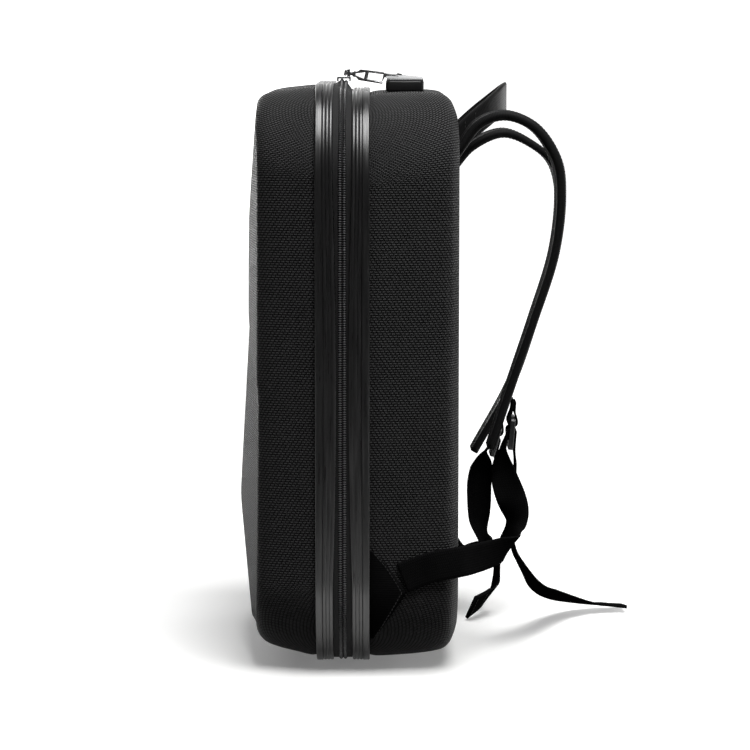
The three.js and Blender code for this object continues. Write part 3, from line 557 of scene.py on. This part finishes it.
def eased_copy(node, width):
    """A copy of a hard piece with its corners merged and its edges rounded over."""
    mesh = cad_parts[node].data.copy()
    piece = bpy.data.objects.new(f"{node}_eased", mesh)
    bpy.context.scene.collection.objects.link(piece)
    weld = piece.modifiers.new("weld", "WELD")
    weld.merge_threshold = MERGE_REACH
    flat = piece.modifiers.new("flat", "DECIMATE")
    flat.decimate_type = "DISSOLVE"
    flat.angle_limit = FLAT_ANGLE
    ease = piece.modifiers.new("ease", "BEVEL")
    ease.width = width
    ease.segments = BEVEL_STEPS
    ease.limit_method = "ANGLE"
    ease.angle_limit = BEVEL_ANGLE
    ease.harden_normals = True
    mesh.polygons.foreach_set("use_smooth", np.ones(len(mesh.polygons), bool))
    return piece


def chrome():
    """Polished plating with faint smears that dull it in places."""
    material, place, _ = new_finish("chrome", metallic=1.0)
    smear = place.noise(160, 4)
    colour = smear.colour((0.2, 0.2, 0.205), (0.56, 0.56, 0.57))
    return set_finish(material, colour, 0.06 + smear * 0.16)


def satin_metal():
    """Metal brushed along the lock: grain drawn out across the bag, light where it is worn."""
    material, place, _ = new_finish("lock_silver", metallic=1.0)
    grain = place.drawn_out((30, 900, 900))
    colour = grain.colour((0.34, 0.345, 0.35), (0.62, 0.625, 0.63))
    return set_finish(material, colour, 0.2 + grain * 0.2, grain, strength=0.08, distance=0.1 * MM)


def moulded_black(name):
    """Black moulded plastic with a fine even grain."""
    material, place, _ = new_finish(name, specular_ior_level=0.5)
    grain = place.noise(1500)
    cloudy = place.noise(60)
    colour = cloudy.colour((0.006, 0.006, 0.0065), (0.013, 0.013, 0.0135))
    return set_finish(material, colour, 0.32 + grain * 0.18, grain, strength=0.12, distance=0.08 * MM)


plating = chrome()
lock_black = moulded_black("lock_black")
for node in ["slider_right", "slider_left", "pull_right", "pull_left", "lock_pin"]:
    fit(eased_copy(node, BEVELS[node]), plating, "chrome", node)
fit(eased_copy("lock_body", BEVELS["lock_body"]), lock_black, "lock_black", "lock_body")
fit(eased_copy("lock_cover", BEVELS["lock_cover"]), satin_metal(), "lock_silver", "lock_cover")
for index in (1, 2, 3):
    node = f"lock_dial_{index}"
    fit(eased_copy(node, BEVELS[node]), lock_black, "lock_black", node, body=f"dial_{index}")

# Haul handle
# A doubled band of webbing, sewn to the top of the back panel at both ends and standing upright
# all the way round.
HANDLE_WIDTH = 26 * MM
HANDLE_THICKNESS = 3 * MM
HANDLE_HALF = [(34, 76.9, 433), (32, 90, 445), (25.5, 104, 456.5), (14, 114.5, 465)]
HANDLE_MIDDLE = (0, 118.3, 467.7)
HANDLE_HEAD = 90
HANDLE_SEAMS = [4, 9]
SEAM_MARGIN = 3 * MM
SEAM_POINTS = 5
BAND_STEPS = 8
STITCH = {"pitch": 3.2 * MM, "length": 2.5 * MM, "width": 0.6 * MM, "height": 0.3 * MM}


def unit(vectors):
    """Each vector divided by its own length."""
    return vectors / np.linalg.norm(vectors, axis=-1, keepdims=True)


def slopes(points):
    """Unit direction along a run of points, from each one's two neighbours."""
    ahead = np.vstack([points[1:], points[-1:]])
    behind = np.vstack([points[:1], points[:-1]])
    return unit(ahead - behind)


def web_section(width, thickness, edge_points=5, face_points=9):
    """Half round edges joined by flat faces, as (across, out) pairs round the section."""
    turn = np.linspace(-math.pi / 2, math.pi / 2, edge_points)
    edge = np.stack([width / 2 - thickness / 2 * (1 - np.cos(turn)), thickness / 2 * np.sin(turn)], -1)
    inner = width / 2 - thickness / 2
    face = np.linspace(inner, -inner, face_points)[1:-1]
    top = np.stack([face, np.full(len(face), thickness / 2)], -1)
    return np.vstack([edge, top, -edge, -top])


def swept(middles, across, section, fold):
    """A section of (across, out) pairs carried along a run: out is square to the run and across.
    Where the band is folded over, the face that looks up at its end is a thickness further out."""
    out = unit(np.cross(slopes(middles), across))
    up = np.sign(out[-1, 2])
    height = section[None, :, 1:] + up * fold[:, None, None] * (up * section[None, :, 1:] > 0)
    return middles[:, None] + across[:, None] * section[None, :, :1] + out[:, None] * height


def band_path(rows, is_square=True):
    """Middle line and direction across a band, from rows of x, y, z, head and lean: head turns
    the direction from +Y to +Z, and lean tips it towards +X."""
    rows = np.asarray(rows, float)
    head, lean = np.radians(rows[:, 3]), np.radians(rows[:, 4])
    ways = np.stack([np.sin(lean), np.cos(lean) * np.cos(head), np.cos(lean) * np.sin(head)], -1)
    middles = spline(rows[:, :3] * MM, BAND_STEPS)
    across = spline(ways, BAND_STEPS)
    if is_square:
        along = slopes(middles)
        across = across - along * (across * along).sum(1, keepdims=True)
    return middles, unit(across)


def run_lengths(points):
    """Distance of each point along an open run."""
    return np.concatenate([[0], np.cumsum(np.linalg.norm(np.diff(points, axis=0), axis=1))])


def band_piece(name, middles, across, width, thickness, hem=0):
    """A woven band as a closed mesh, with its place on the cloth for the weave: the distance round
    the section and along the middle line. A hem is its last length, folded back on itself."""
    section = web_section(width, thickness)
    along = run_lengths(middles)
    fold = np.where(along[-1] - along < hem, thickness, 0)
    places = np.stack(np.meshgrid(loop_lengths(section), along), -1)
    points = swept(middles, across, section, fold)
    return grid_piece(name, points, places, is_column_loop=True, has_ends=True)


def stitch_places(run, out):
    """Origins and axes of stitches at even steps along a run; each lies along the run and stands
    a little out of the cloth."""
    along = run_lengths(run)
    at = np.arange(STITCH["pitch"] / 2, along[-1], STITCH["pitch"])
    place, way, up = (
        np.stack([np.interp(at, along, column) for column in values.T], -1)
        for values in (run, slopes(run), out)
    )
    way = unit(way)
    up = unit(up - way * (up * way).sum(1, keepdims=True))
    return place, np.stack([np.cross(way, up), way, up], 1)


def stitch_piece(name, rows):
    """All stitches of several rows, each given as a run of points and the directions out of it."""
    origins, axes = zip(*(stitch_places(run, out) for run, out in rows))
    shape = pill(STITCH["length"], STITCH["width"], STITCH["height"])
    return repeated(name, shape, np.vstack(origins), np.vstack(axes))


def cross_row(middles, across, index, lift, half):
    """A straight row of stitches across a band, at one point of its run and at a height over it."""
    out = unit(np.cross(slopes(middles), across))[index]
    run = middles[index] + np.outer(np.linspace(-half, half, SEAM_POINTS), across[index]) + out * lift
    return run, np.tile(out * np.sign(lift), (SEAM_POINTS, 1))


def web_cloth(name, gloss):
    """Ribs across the band with fine columns along it, as woven nylon has. The handle's closer
    weave shines a little, and the soft straps' doesn't."""
    rib_pitch, column_pitch = 1.5 * MM, 2.1 * MM
    material, place, cloth = new_finish(name, specular_ior_level=gloss)
    u, v = cloth.parts()
    column = u / column_pitch
    rib = (v / rib_pitch + column.math("FLOOR", column) * 0.5).wave()
    height = rib * (0.45 + column.wave() * 0.55)
    grain = place.noise(1800)
    mottle = place.noise(45)
    # Painted shade: the hollows between ribs and columns are darker, over a random grain and mottle
    tone_and_hollow_shade = height * 0.65 + grain * 0.15 + mottle * 0.2
    colour = tone_and_hollow_shade.colour((0.001, 0.001, 0.0011), (0.014, 0.014, 0.0143))
    relief = height + grain * 0.2
    return set_finish(material, colour, 0.66 - height * 0.16, relief, strength=0.5, distance=0.3 * MM)


def thread():
    """Polyester sewing thread: dark grey, with a fine twist."""
    material, place, _ = new_finish("thread", specular_ior_level=0.3)
    twist = place.noise(2400)
    colour = twist.colour((0.009, 0.009, 0.0092), (0.034, 0.034, 0.0345))
    return set_finish(material, colour, 0.5 + twist * 0.2)


handle_finish = web_cloth("handle_webbing", 0.16)
webbing_finish = web_cloth("webbing", 0.0)
thread_finish = thread()
mirrored = [(-x, y, z) for x, y, z in HANDLE_HALF[::-1]]
handle_rows = [(*row, HANDLE_HEAD, 0) for row in [*HANDLE_HALF, HANDLE_MIDDLE, *mirrored]]
middles, across = band_path(handle_rows, is_square=False)
handle = band_piece("handle_band", middles, across, HANDLE_WIDTH, HANDLE_THICKNESS)
fit(handle, handle_finish, "webbing", "haul_handle")
ends = HANDLE_SEAMS + [len(middles) - 1 - index for index in HANDLE_SEAMS[::-1]]
sewn = [
    cross_row(middles, across, index, lift, HANDLE_WIDTH / 2 - SEAM_MARGIN)
    for lift in (-HANDLE_THICKNESS / 2, HANDLE_THICKNESS / 2)
    for index in ends
]
fit(stitch_piece("handle_stitches", sewn), thread_finish, "webbing")

# Shoulder straps
# Foam pads between two cloths, narrowing downwards, with a woven binding folded over each edge
# and sewn through. They are sewn to the back panel at the top and hang down to their buckles.
STRAP_STEPS = 14
PAD_COLUMNS = 29
PAD_INSET = 0.5 * MM
PAD_EDGE_POWER = 14
PINCH_LEAD = 2 * MM
PINCH_RUN = 5 * MM
BINDING_REACH = 9 * MM
BINDING_THICKNESS = 0.8 * MM
BINDING_PINCH = 0.24
FLAT_POINTS, TURN_POINTS = 7, 11
SEAM_INSET = 1.8 * MM
ROOT_STEPS = 8
ROOT_SLANT = 0.6
# Rows of y, z, x, width and thickness
RIGHT_STRAP = [
    (76.5, 424.5, 62, 46, 8), (94, 447.5, 64, 46, 8.5), (115, 454.2, 67, 46, 8.5),
    (139.5, 444.5, 70, 46, 8.5), (157.8, 417, 72, 46, 8.5), (161.3, 388, 73, 46, 8.2),
    (156.3, 341, 74, 45, 7.6), (139.2, 285, 75, 42, 7), (122.2, 234, 75, 37, 7),
    (104, 177.7, 75, 33, 6.5),
]
LEFT_STRAP = [
    (76.5, 406.5, -62, 46, 8), (91.5, 423.8, -64, 46, 8.5), (119.5, 435.5, -67, 46, 8),
    (146, 425, -70, 46, 6.5), (163, 409.5, -72, 46, 6.5), (171, 380, -73.5, 46, 7.5),
    (166.2, 329.7, -75, 45, 7.5), (148.1, 270, -75, 42, 7), (128.8, 214, -75, 37, 6.8),
    (95.5, 152.5, -75, 33, 6.5),
]


def strap_path(rows):
    """Middle line, half width and half thickness along a padded strap."""
    rows = np.asarray(rows, float)
    middles = spline(rows[:, [2, 0, 1]], STRAP_STEPS) * MM
    halves = spline(rows[:, 3:] / 2, STRAP_STEPS) * MM
    return middles, halves


def pad_half_height(share, half, thick):
    """Half the pad's thickness at a share of its half width: full in the middle, pinched under
    the binding, and round at the very edge."""
    start = half - BINDING_REACH - PINCH_LEAD
    inward = np.clip((np.abs(share) * half - start) / PINCH_RUN, 0, 1)
    pinch = 1 - BINDING_PINCH * inward**2 * (3 - 2 * inward)
    return thick * pinch * np.sqrt(np.clip(1 - np.abs(share)**PAD_EDGE_POWER, 0, 1))


def strap_points(middles, offset, height):
    """Points at an offset across X and a height square to the strap's run, row by row. The first
    row stands upright, flat on the back panel, and the next few turn smoothly from it."""
    across = np.array([1.0, 0, 0])
    out = unit(np.cross(slopes(middles), across))
    upright = np.array([0, 0, np.sign(out[0, 2]) / max(abs(out[0, 2]), ROOT_SLANT)])
    share = np.clip(np.arange(len(out)) / ROOT_STEPS, 0, 1)[:, None]
    out = upright + (out - upright) * share**2 * (3 - 2 * share)
    return middles[:, None] + offset[..., None] * across + height[..., None] * out[:, None]


def tube_piece(name, points):
    """A closed mesh from sections along a run, with each point's place on the cloth."""
    return grid_piece(name, points, cloth_places(points)[:-1], is_column_loop=True, has_ends=True)


def strap_pad(name, rows):
    """The pad: its upper and lower faces across the width, joined at the edges."""
    middles, halves = strap_path(rows)
    share = np.sin(np.linspace(-1, 1, PAD_COLUMNS) * math.pi / 2)
    share = np.concatenate([share, share[-2:0:-1]])
    sign = np.where(np.arange(len(share)) < PAD_COLUMNS, 1, -1)
    half, thick = halves[:, :1] - PAD_INSET, halves[:, 1:]
    height = sign * pad_half_height(share[None, :], half, thick)
    return tube_piece(name, strap_points(middles, share[None, :] * half, height))


def binding_section(half, thick):
    """A tape folded over the edge: out along one face, round the edge and back on the other,
    and the same way back one thickness further in."""
    face = thick * (1 - BINDING_PINCH)
    flat = np.linspace(0, 1, FLAT_POINTS)[:-1]
    turn = np.linspace(math.pi / 2, -math.pi / 2, TURN_POINTS)
    start = half - BINDING_REACH

    def folded(depth):
        radius = face + BINDING_THICKNESS - depth
        centre = half - radius - depth
        way_out = start + (centre - start) * flat
        offset = np.concatenate([way_out, centre + radius * np.cos(turn), way_out[:, ::-1]], -1)
        level = radius + 0 * flat
        height = np.concatenate([level, radius * np.sin(turn), -level], -1)
        return offset, height

    outer, inner = folded(0 * half), folded(BINDING_THICKNESS + 0 * half)
    return [np.concatenate([one, two[:, ::-1]], -1) for one, two in zip(outer, inner)]


def strap_binding(name, rows, side):
    """The binding along one edge of a strap."""
    middles, halves = strap_path(rows)
    offset, height = binding_section(halves[:, :1], halves[:, 1:])
    return tube_piece(name, strap_points(middles, side * offset, height))


def strap_seams(rows):
    """Rows of stitches through both edges' bindings, on the pad's upper and lower face."""
    middles, halves = strap_path(rows)
    offset = halves[:, :1] - BINDING_REACH + SEAM_INSET
    height = halves[:, 1:] * (1 - BINDING_PINCH) + BINDING_THICKNESS
    seams = []
    for edge, face in [(1, 1), (1, -1), (-1, 1), (-1, -1)]:
        run = strap_points(middles, edge * offset, face * height)[:, 0]
        inside = strap_points(middles, edge * offset, 0 * height)[:, 0]
        seams.append((run[ROOT_STEPS:], unit(run - inside)[ROOT_STEPS:]))
    return seams


def pad_cloth():
    """Close-knit mesh cloth: small holes in staggered rows, painted dark as shade."""
    pitch = 2.0 * MM
    material, place, cloth = new_finish("strap_cloth", specular_ior_level=0.05)
    u, v = cloth.parts()
    rows = v / pitch
    hole = rows.wave() * (u / pitch + rows.math("FLOOR", rows) * 0.5).wave()
    grain = place.noise(1600)
    # Painted shade in the holes, over a random grain
    tone_and_hollow_shade = 0.8 - hole * 0.6 + grain * 0.2
    colour = tone_and_hollow_shade.colour((0.0015, 0.0015, 0.0016), (0.017, 0.017, 0.0174))
    relief = grain * 0.2 - hole
    return set_finish(material, colour, 0.86 - grain * 0.12, relief, strength=0.5, distance=0.35 * MM)


def binding_cloth():
    """Plain tape with fine ribs across it and a slight shine."""
    rib_pitch = 1.1 * MM
    material, place, cloth = new_finish("binding", specular_ior_level=0.06)
    _, v = cloth.parts()
    rib = (v / rib_pitch).wave()
    grain = place.noise(1500)
    # Painted shade in the hollows between the ribs, over a random grain
    tone_and_hollow_shade = rib * 0.6 + grain * 0.4
    colour = tone_and_hollow_shade.colour((0.0015, 0.0015, 0.0016), (0.017, 0.017, 0.0174))
    return set_finish(material, colour, 0.6 - rib * 0.12, rib + grain * 0.3, strength=0.4)


pad_finish = pad_cloth()
binding_finish = binding_cloth()
for name, rows in [("right", RIGHT_STRAP), ("left", LEFT_STRAP)]:
    pad = fit(strap_pad(f"strap_pad_{name}", rows), pad_finish, "strap_cloth", f"shoulder_strap_{name}")
    for edge, side in [("outer", 1), ("inner", -1)]:
        binding = strap_binding(f"strap_binding_{name}_{edge}", rows, side)
        fit(binding, binding_finish, "strap_cloth")
    fit(stitch_piece(f"strap_stitches_{name}", strap_seams(rows)), thread_finish, "strap_cloth")

# Buckles, loops and lower webbing
# Ladder buckles of black moulded plastic hang on short webbing loops sewn to the straps' ends.
# The lower webbing runs from a tab at the rear rim through the buckle to a free hemmed end.
WEB_WIDTH = 25.4 * MM
WEB_THICKNESS = 1.6 * MM
BUCKLE_OUT = 13
BUCKLE_ALONG = 16.7
BUCKLE_LEAN = math.radians(13)
BUCKLE_BEVEL = 0.7 * MM
HEM = 24 * MM
HEM_SEAMS = [4 * MM, HEM - 5 * MM]
HEM_MARGIN = 2.5 * MM
# Rows of how far out from the buckle's plane and up along it
LOOP_ROUTE = [
    (-1.3, 28), (-1.3, 23), (-1.6, 18), (-2.6, 14.6), (-3.6, 10.75), (-3.3, 8), (-1.9, 6.6), (0, 6.3),
    (1.9, 6.6), (3.3, 8), (3.6, 10.75), (2.4, 14.6), (1.1, 18), (0.8, 22.5), (0.8, 26.5),
]
TURN_ROUTE = [
    (-3.5, -5), (-3.5, 0), (-3.4, 2.2), (-2.2, 3.6), (0, 4), (2.2, 3.6), (3.4, 2.2), (3.5, 0),
    (3.5, -6), (3.8, -14),
]
# Rows of x, y, z, head and lean
RIGHT_FEED = [
    (162.7, 29.5, 82, 125, 0), (161.5, 43, 87.4, 112, 0), (160.8, 58.6, 91.8, 104, 0),
    (155, 77.5, 94.1, 95, 0), (143, 87, 93.8, 90, 0), (127, 98.1, 93.7, 84, 0),
    (110, 109.6, 93.9, 74, 0), (98, 118.5, 94.2, 62, 8), (89.5, 122.8, 97, 56, 40),
    (85, 124, 102, 30, 65), (83, 124.6, 108, 5, 62), (83, 125.8, 116.5, 2, 45),
    (84, 124.4, 126.4, 8, 22), (84, 121, 136.6, 16, 10), (82, 116.4, 149.9, 18, 25),
    (78, 113.8, 163.8, 5, 55), (75.5, 115, 176, 0, 84),
]
RIGHT_TAIL = [
    (72, 125.2, 164, 0, 90), (64, 125, 138, 0, 90), (57, 125, 111, 0, 90), (50, 126, 90.5, 0, 90),
    (40, 130, 77.4, 23, 80), (26, 136.7, 64.2, 35, 79), (4, 145.9, 49.4, 52, 76),
    (-30, 157.6, 33.8, 62, 69), (-65, 173, 20.5, 68, 68), (-92, 193, 10.5, 73, 73),
    (-103, 213, 5.5, 80, 78), (-106, 234.5, 3, 82, 82),
]
LEFT_FEED = [
    (-162.7, 30, 82, 125, 0), (-161.5, 42, 85.5, 112, 0), (-160.8, 57.5, 78.5, 84, 0),
    (-155, 75.5, 50, 62, 0), (-142, 86, 41.5, 72, 0), (-125, 96, 46.5, 82, 0),
    (-109, 103.5, 52, 76, -6), (-97, 107.4, 56, 62, -28), (-89.5, 108, 61, 48, -55),
    (-85, 106.6, 68, 20, -74), (-82, 104, 77, 5, -64), (-80, 101.4, 90.5, 0, -40),
    (-79, 101, 106.2, 0, -30), (-78, 101, 122, 0, -28), (-77, 102.6, 137.5, 0, -38),
    (-76, 104, 148.5, 0, -71),
]
LEFT_TAIL = [
    (-77, 118, 126, 180, -90), (-80, 122.5, 113, 180, -89), (-83, 126, 100, 180, -88),
    (-88, 127, 80, 180, -87), (-91.5, 122, 66, 180, -86), (-93.5, 118.8, 55, 180, -84),
    (-94.5, 118.2, 44.5, 190, -82), (-94, 117.4, 33, 215, -78), (-88, 115, 24, 240, -62),
    (-75, 107, 17, 250, -44), (-56, 94, 12.2, 253, -31),
]


def buckle_rows(strap, route, lean):
    """Rows of a band through a buckle. The buckle lies off the strap's last section, leaning out
    from the strap's own slope; out and up are its directions in the side view."""
    before, end = np.array(strap[-2:], float)
    slope = math.atan2(before[1] - end[1], before[0] - end[0])
    lift = slope + BUCKLE_LEAN
    place = end[:2] + BUCKLE_OUT * np.array([math.sin(slope), -math.cos(slope)])
    place = place + BUCKLE_ALONG * np.array([math.cos(slope), math.sin(slope)])
    route = np.array(route)
    side_view = (place + route[:, :1] * [math.sin(lift), -math.cos(lift)]
                 + route[:, 1:] * [math.cos(lift), math.sin(lift)])
    head = 0 if lean > 0 else 180
    return [(end[2], y, z, head, lean) for y, z in side_view]


buckle_black = moulded_black("buckle_plastic")
for name, side, strap, feed, tail in [
    ("right", 1, RIGHT_STRAP, RIGHT_FEED, RIGHT_TAIL),
    ("left", -1, LEFT_STRAP, LEFT_FEED, LEFT_TAIL),
]:
    node = f"buckle_{name}"
    fit(eased_copy(node, BUCKLE_BEVEL), buckle_black, "buckle_plastic", node)
    middles, across = band_path(buckle_rows(strap, LOOP_ROUTE, 90 * side))
    loop = band_piece(f"loop_band_{name}", middles, across, WEB_WIDTH, WEB_THICKNESS)
    fit(loop, webbing_finish, "webbing", f"buckle_loop_{name}")
    rows = [*feed, *buckle_rows(strap, TURN_ROUTE, 90 * side), *tail]
    middles, across = band_path(rows)
    lower_band = band_piece(f"lower_band_{name}", middles, across, WEB_WIDTH, WEB_THICKNESS, HEM)
    fit(lower_band, webbing_finish, "webbing", f"webbing_{name}")
    along = run_lengths(middles)
    sewn = []
    up = np.sign(np.cross(slopes(middles), across)[-1, 2])
    for back in HEM_SEAMS:
        index = int(np.argmin(np.abs(along[-1] - along - back)))
        # On the folded face, a thickness further out, and on the plain one
        for lift in (1.5 * up * WEB_THICKNESS, -0.5 * up * WEB_THICKNESS):
            sewn.append(cross_row(middles, across, index, lift, WEB_WIDTH / 2 - HEM_MARGIN))
    fit(stitch_piece(f"hem_stitches_{name}", sewn), thread_finish, "webbing")

# Anchor tabs
# A triangle of doubled cloth sewn under the rear rim on each side; the lower webbing is sewn
# into its point.
TAB_LIFT = 1.2 * MM
TAB_THICKNESS = 1.6 * MM
TAB_STEPS = 60
TAB_COLUMNS = 24
TAB_EDGE_START = 0.93
TAB_SEAM = 20
TAB_SEAM_ENDS = slice(2, -2)
# Rows of height and reach from the zip's plane
TAB_ROWS = [
    (105, 23.5), (98, 30.5), (91, 37.2), (80, 45.4), (70, 52), (60, 46), (48, 38.5), (36, 31), (28, 25),
]


def tab_points(side):
    """Rows of heights, each from the rim to the tab's edge: an upper face with a rounded edge
    that follows the shell's side, and a lower face under it."""
    rows = np.array(TAB_ROWS, float) * MM
    z = np.linspace(rows[0, 0], rows[-1, 0], TAB_STEPS)
    reach = np.interp(-z, -rows[:, 0], rows[:, 1])
    start = RIM_OUTER + GAP
    share = np.linspace(0, 1, TAB_COLUMNS)
    rounded = 1 - np.clip((share - TAB_EDGE_START) / (1 - TAB_EDGE_START), 0, 1)**2 / 2
    depth = start + (reach - start)[:, None] * np.concatenate([share, share[::-1]])
    lift = np.concatenate([TAB_LIFT + TAB_THICKNESS * rounded, np.full(TAB_COLUMNS, TAB_LIFT)])
    inset = np.interp(depth, REAR_PROFILE[:, 0], REAR_PROFILE[:, 1])
    turn = np.arcsin(np.maximum(0, CORNER - z) / CORNER)[:, None]
    radius = CORNER - inset + lift
    x = side * (WIDTH / 2 - CORNER + radius * np.cos(turn))
    height = np.where(z[:, None] > CORNER, z[:, None], CORNER - radius * np.sin(turn))
    return np.stack([x, ZIP_Y + depth, height], -1)


for name, side in [("right", 1), ("left", -1)]:
    points = tab_points(side)
    fit(tube_piece(f"tab_cloth_{name}", points), webbing_finish, "webbing", f"anchor_tab_{name}")
    seam, under = points[TAB_SEAM_ENDS, TAB_SEAM], points[TAB_SEAM_ENDS, -1 - TAB_SEAM]
    fit(stitch_piece(f"tab_stitches_{name}", [(seam, unit(seam - under))]), thread_finish, "webbing")

# Studio
# A pale floor with a painted glow, dimmed under the bag as a painted shadow, that curves up behind the
# bag in a round pale room, a large soft light overhead, one on the wall past the bag's front and a weak
# one from its back. The camera looks at the bag's right side from a little above.
FLOOR_LOW = -0.2 * MM
FLOOR_SIDES = [-4.0, 4.0]
PAPER_END = 0.45
PAPER = {"flat": 2.2, "bend": 1.2, "top": 4.0, "steps": 24}
BOWL = {"flat": 3.6, "bend": 1.4, "top": 4.5, "steps": 16}
BOWL_HOLE = 0.05
BOWL_SIDES = 72
BOWL_DROP = 1 * MM
# The bag's foot, round which the paper's painted glow is dimmed to a painted shadow, and how far out it
# clears again
FOOT_HALF_X, FOOT_HALF_Y, FOOT_Y = 0.16, 0.07, 0.012
PAINTED_SHADOW_REACH = 0.12
PAINTED_SHADOW_GLOW = 0.34
# The painted glow grows from the paper's own to the wall's as x falls from its start over its run
PAPER_PAINTED_GLOW, WALL_PAINTED_GLOW = 0.5, 0.88
PAINTED_GLOW_START, PAINTED_GLOW_RUN = -0.3, 1.7


def curved_up(begin, flat, bend, top, steps):
    """Reach and height of a floor that runs flat, bends up in a quarter circle and rises."""
    turn = np.linspace(0, math.pi / 2, steps)
    reach = np.concatenate([[begin], flat + bend * np.sin(turn), [flat + bend]])
    up = np.concatenate([[0], bend * (1 - np.cos(turn)), [top]]) + FLOOR_LOW
    return reach[:, None], up[:, None]


def floor_sweep():
    """The paper: the curved floor drawn out along Y, rising towards -X."""
    reach, up = curved_up(-PAPER_END, **PAPER)
    sides = np.array(FLOOR_SIDES)
    return np.stack([-reach + 0 * sides, sides + 0 * reach, up + 0 * sides], -1)


def room_bowl():
    """A round bowl about the bag, just under the paper: the curved floor spun about the Z axis."""
    reach, up = curved_up(BOWL_HOLE, **BOWL)
    angle = np.linspace(0, 2 * math.pi, BOWL_SIDES, endpoint=False)
    return np.stack([reach * np.cos(angle), reach * np.sin(angle), up - BOWL_DROP + 0 * angle], -1)


def past(value, half):
    """How far a value lies outside the span from minus half to half."""
    return value.math("MAXIMUM", value.math("ABSOLUTE", value) - half, 0)


def paper_with_painted_glow():
    """Matt white paper with an almost unseen mottle and a painted glow: least under the bag as a
    painted shadow, more round it, and most towards the wall."""
    material, place, _ = new_finish("paper", specular_ior_level=0.1, emission_strength=1.0)
    mottle = place.noise(3)
    x, y = place.parts()
    behind = ((x - PAINTED_GLOW_START) / -PAINTED_GLOW_RUN).clipped()
    # Painted shadow: the glow is dimmed under the bag's foot and clears away from it
    past_x, past_y = past(x, FOOT_HALF_X), past(y - FOOT_Y, FOOT_HALF_Y)
    clear = (place.math("SQRT", past_x * past_x + past_y * past_y) / PAINTED_SHADOW_REACH).clipped()
    # Painted glow: the paper shines like a lamp, more towards the wall
    level = PAPER_PAINTED_GLOW + behind * (WALL_PAINTED_GLOW - PAPER_PAINTED_GLOW)
    painted_glow = (level * (PAINTED_SHADOW_GLOW + clear * (1 - PAINTED_SHADOW_GLOW))).colour((0, 0, 0), (1, 1, 1))
    shader = material.node_tree.nodes["Principled BSDF"]
    material.node_tree.links.new(painted_glow.socket, shader.inputs["Emission Color"])
    colour = mottle.colour((0.86, 0.86, 0.85), (0.88, 0.88, 0.87))
    return set_finish(material, colour, 0.9 + mottle * 0.05)


paper = paper_with_painted_glow()
floor = grid_piece("floor", floor_sweep())
room = grid_piece("room", room_bowl(), is_column_loop=True)
for piece in (floor, room):
    piece.data.materials.append(paper)
# Beyond the paper the real room is dark, so the bowl throws no light or shade on the bag, and the
# paper shows in the bag's gloss but hardly brightens its cloth
floor.visible_diffuse = False
room.visible_diffuse = False
room.visible_glossy = False
room.visible_shadow = False


def soft_light(name, place, aim, size, power):
    """A rectangular panel of light at a place, turned to shine at a point."""
    lamp = bpy.data.lights.new(name, "AREA")
    lamp.shape = "RECTANGLE"
    lamp.size, lamp.size_y = size
    lamp.energy = power
    panel = bpy.data.objects.new(name, lamp)
    panel.location = place
    x, y, z = np.subtract(aim, place)
    panel.rotation_euler = (math.atan2(math.hypot(x, y), -z), 0, math.atan2(-x, y))
    bpy.context.scene.collection.objects.link(panel)


soft_light("key", place=(0.75, 0.4, 2.3), aim=(0.75, 0.4, 0), size=(1.6, 1.2), power=74)
soft_light("wall_light", place=(-2.0, -1.4, 0.6), aim=(-4.0, -2.7, 0.25), size=(1.2, 1.2), power=200)
soft_light("back_fill", place=(-1.3, 1.9, 0.35), aim=(0, 0.1, 0.25), size=(1.4, 0.5), power=32)

world = bpy.data.worlds.new("studio")
bpy.context.scene.world = world
world.use_nodes = True
sky = world.node_tree.nodes["Background"]
sky.inputs["Color"].default_value = (1, 1, 1, 1)
sky.inputs["Strength"].default_value = 0.08
bpy.context.scene.view_settings.view_transform = "Standard"

camera = bpy.data.objects.new("camera", bpy.data.cameras.new("camera"))
camera.location = (2.365, 0.0074, 0.512)
camera.rotation_euler = (math.radians(83.17), 0, math.radians(90))
camera.data.sensor_width = 36
camera.data.lens = 132.24
bpy.context.scene.collection.objects.link(camera)
bpy.context.scene.camera = camera

bpy.context.view_layer.update()
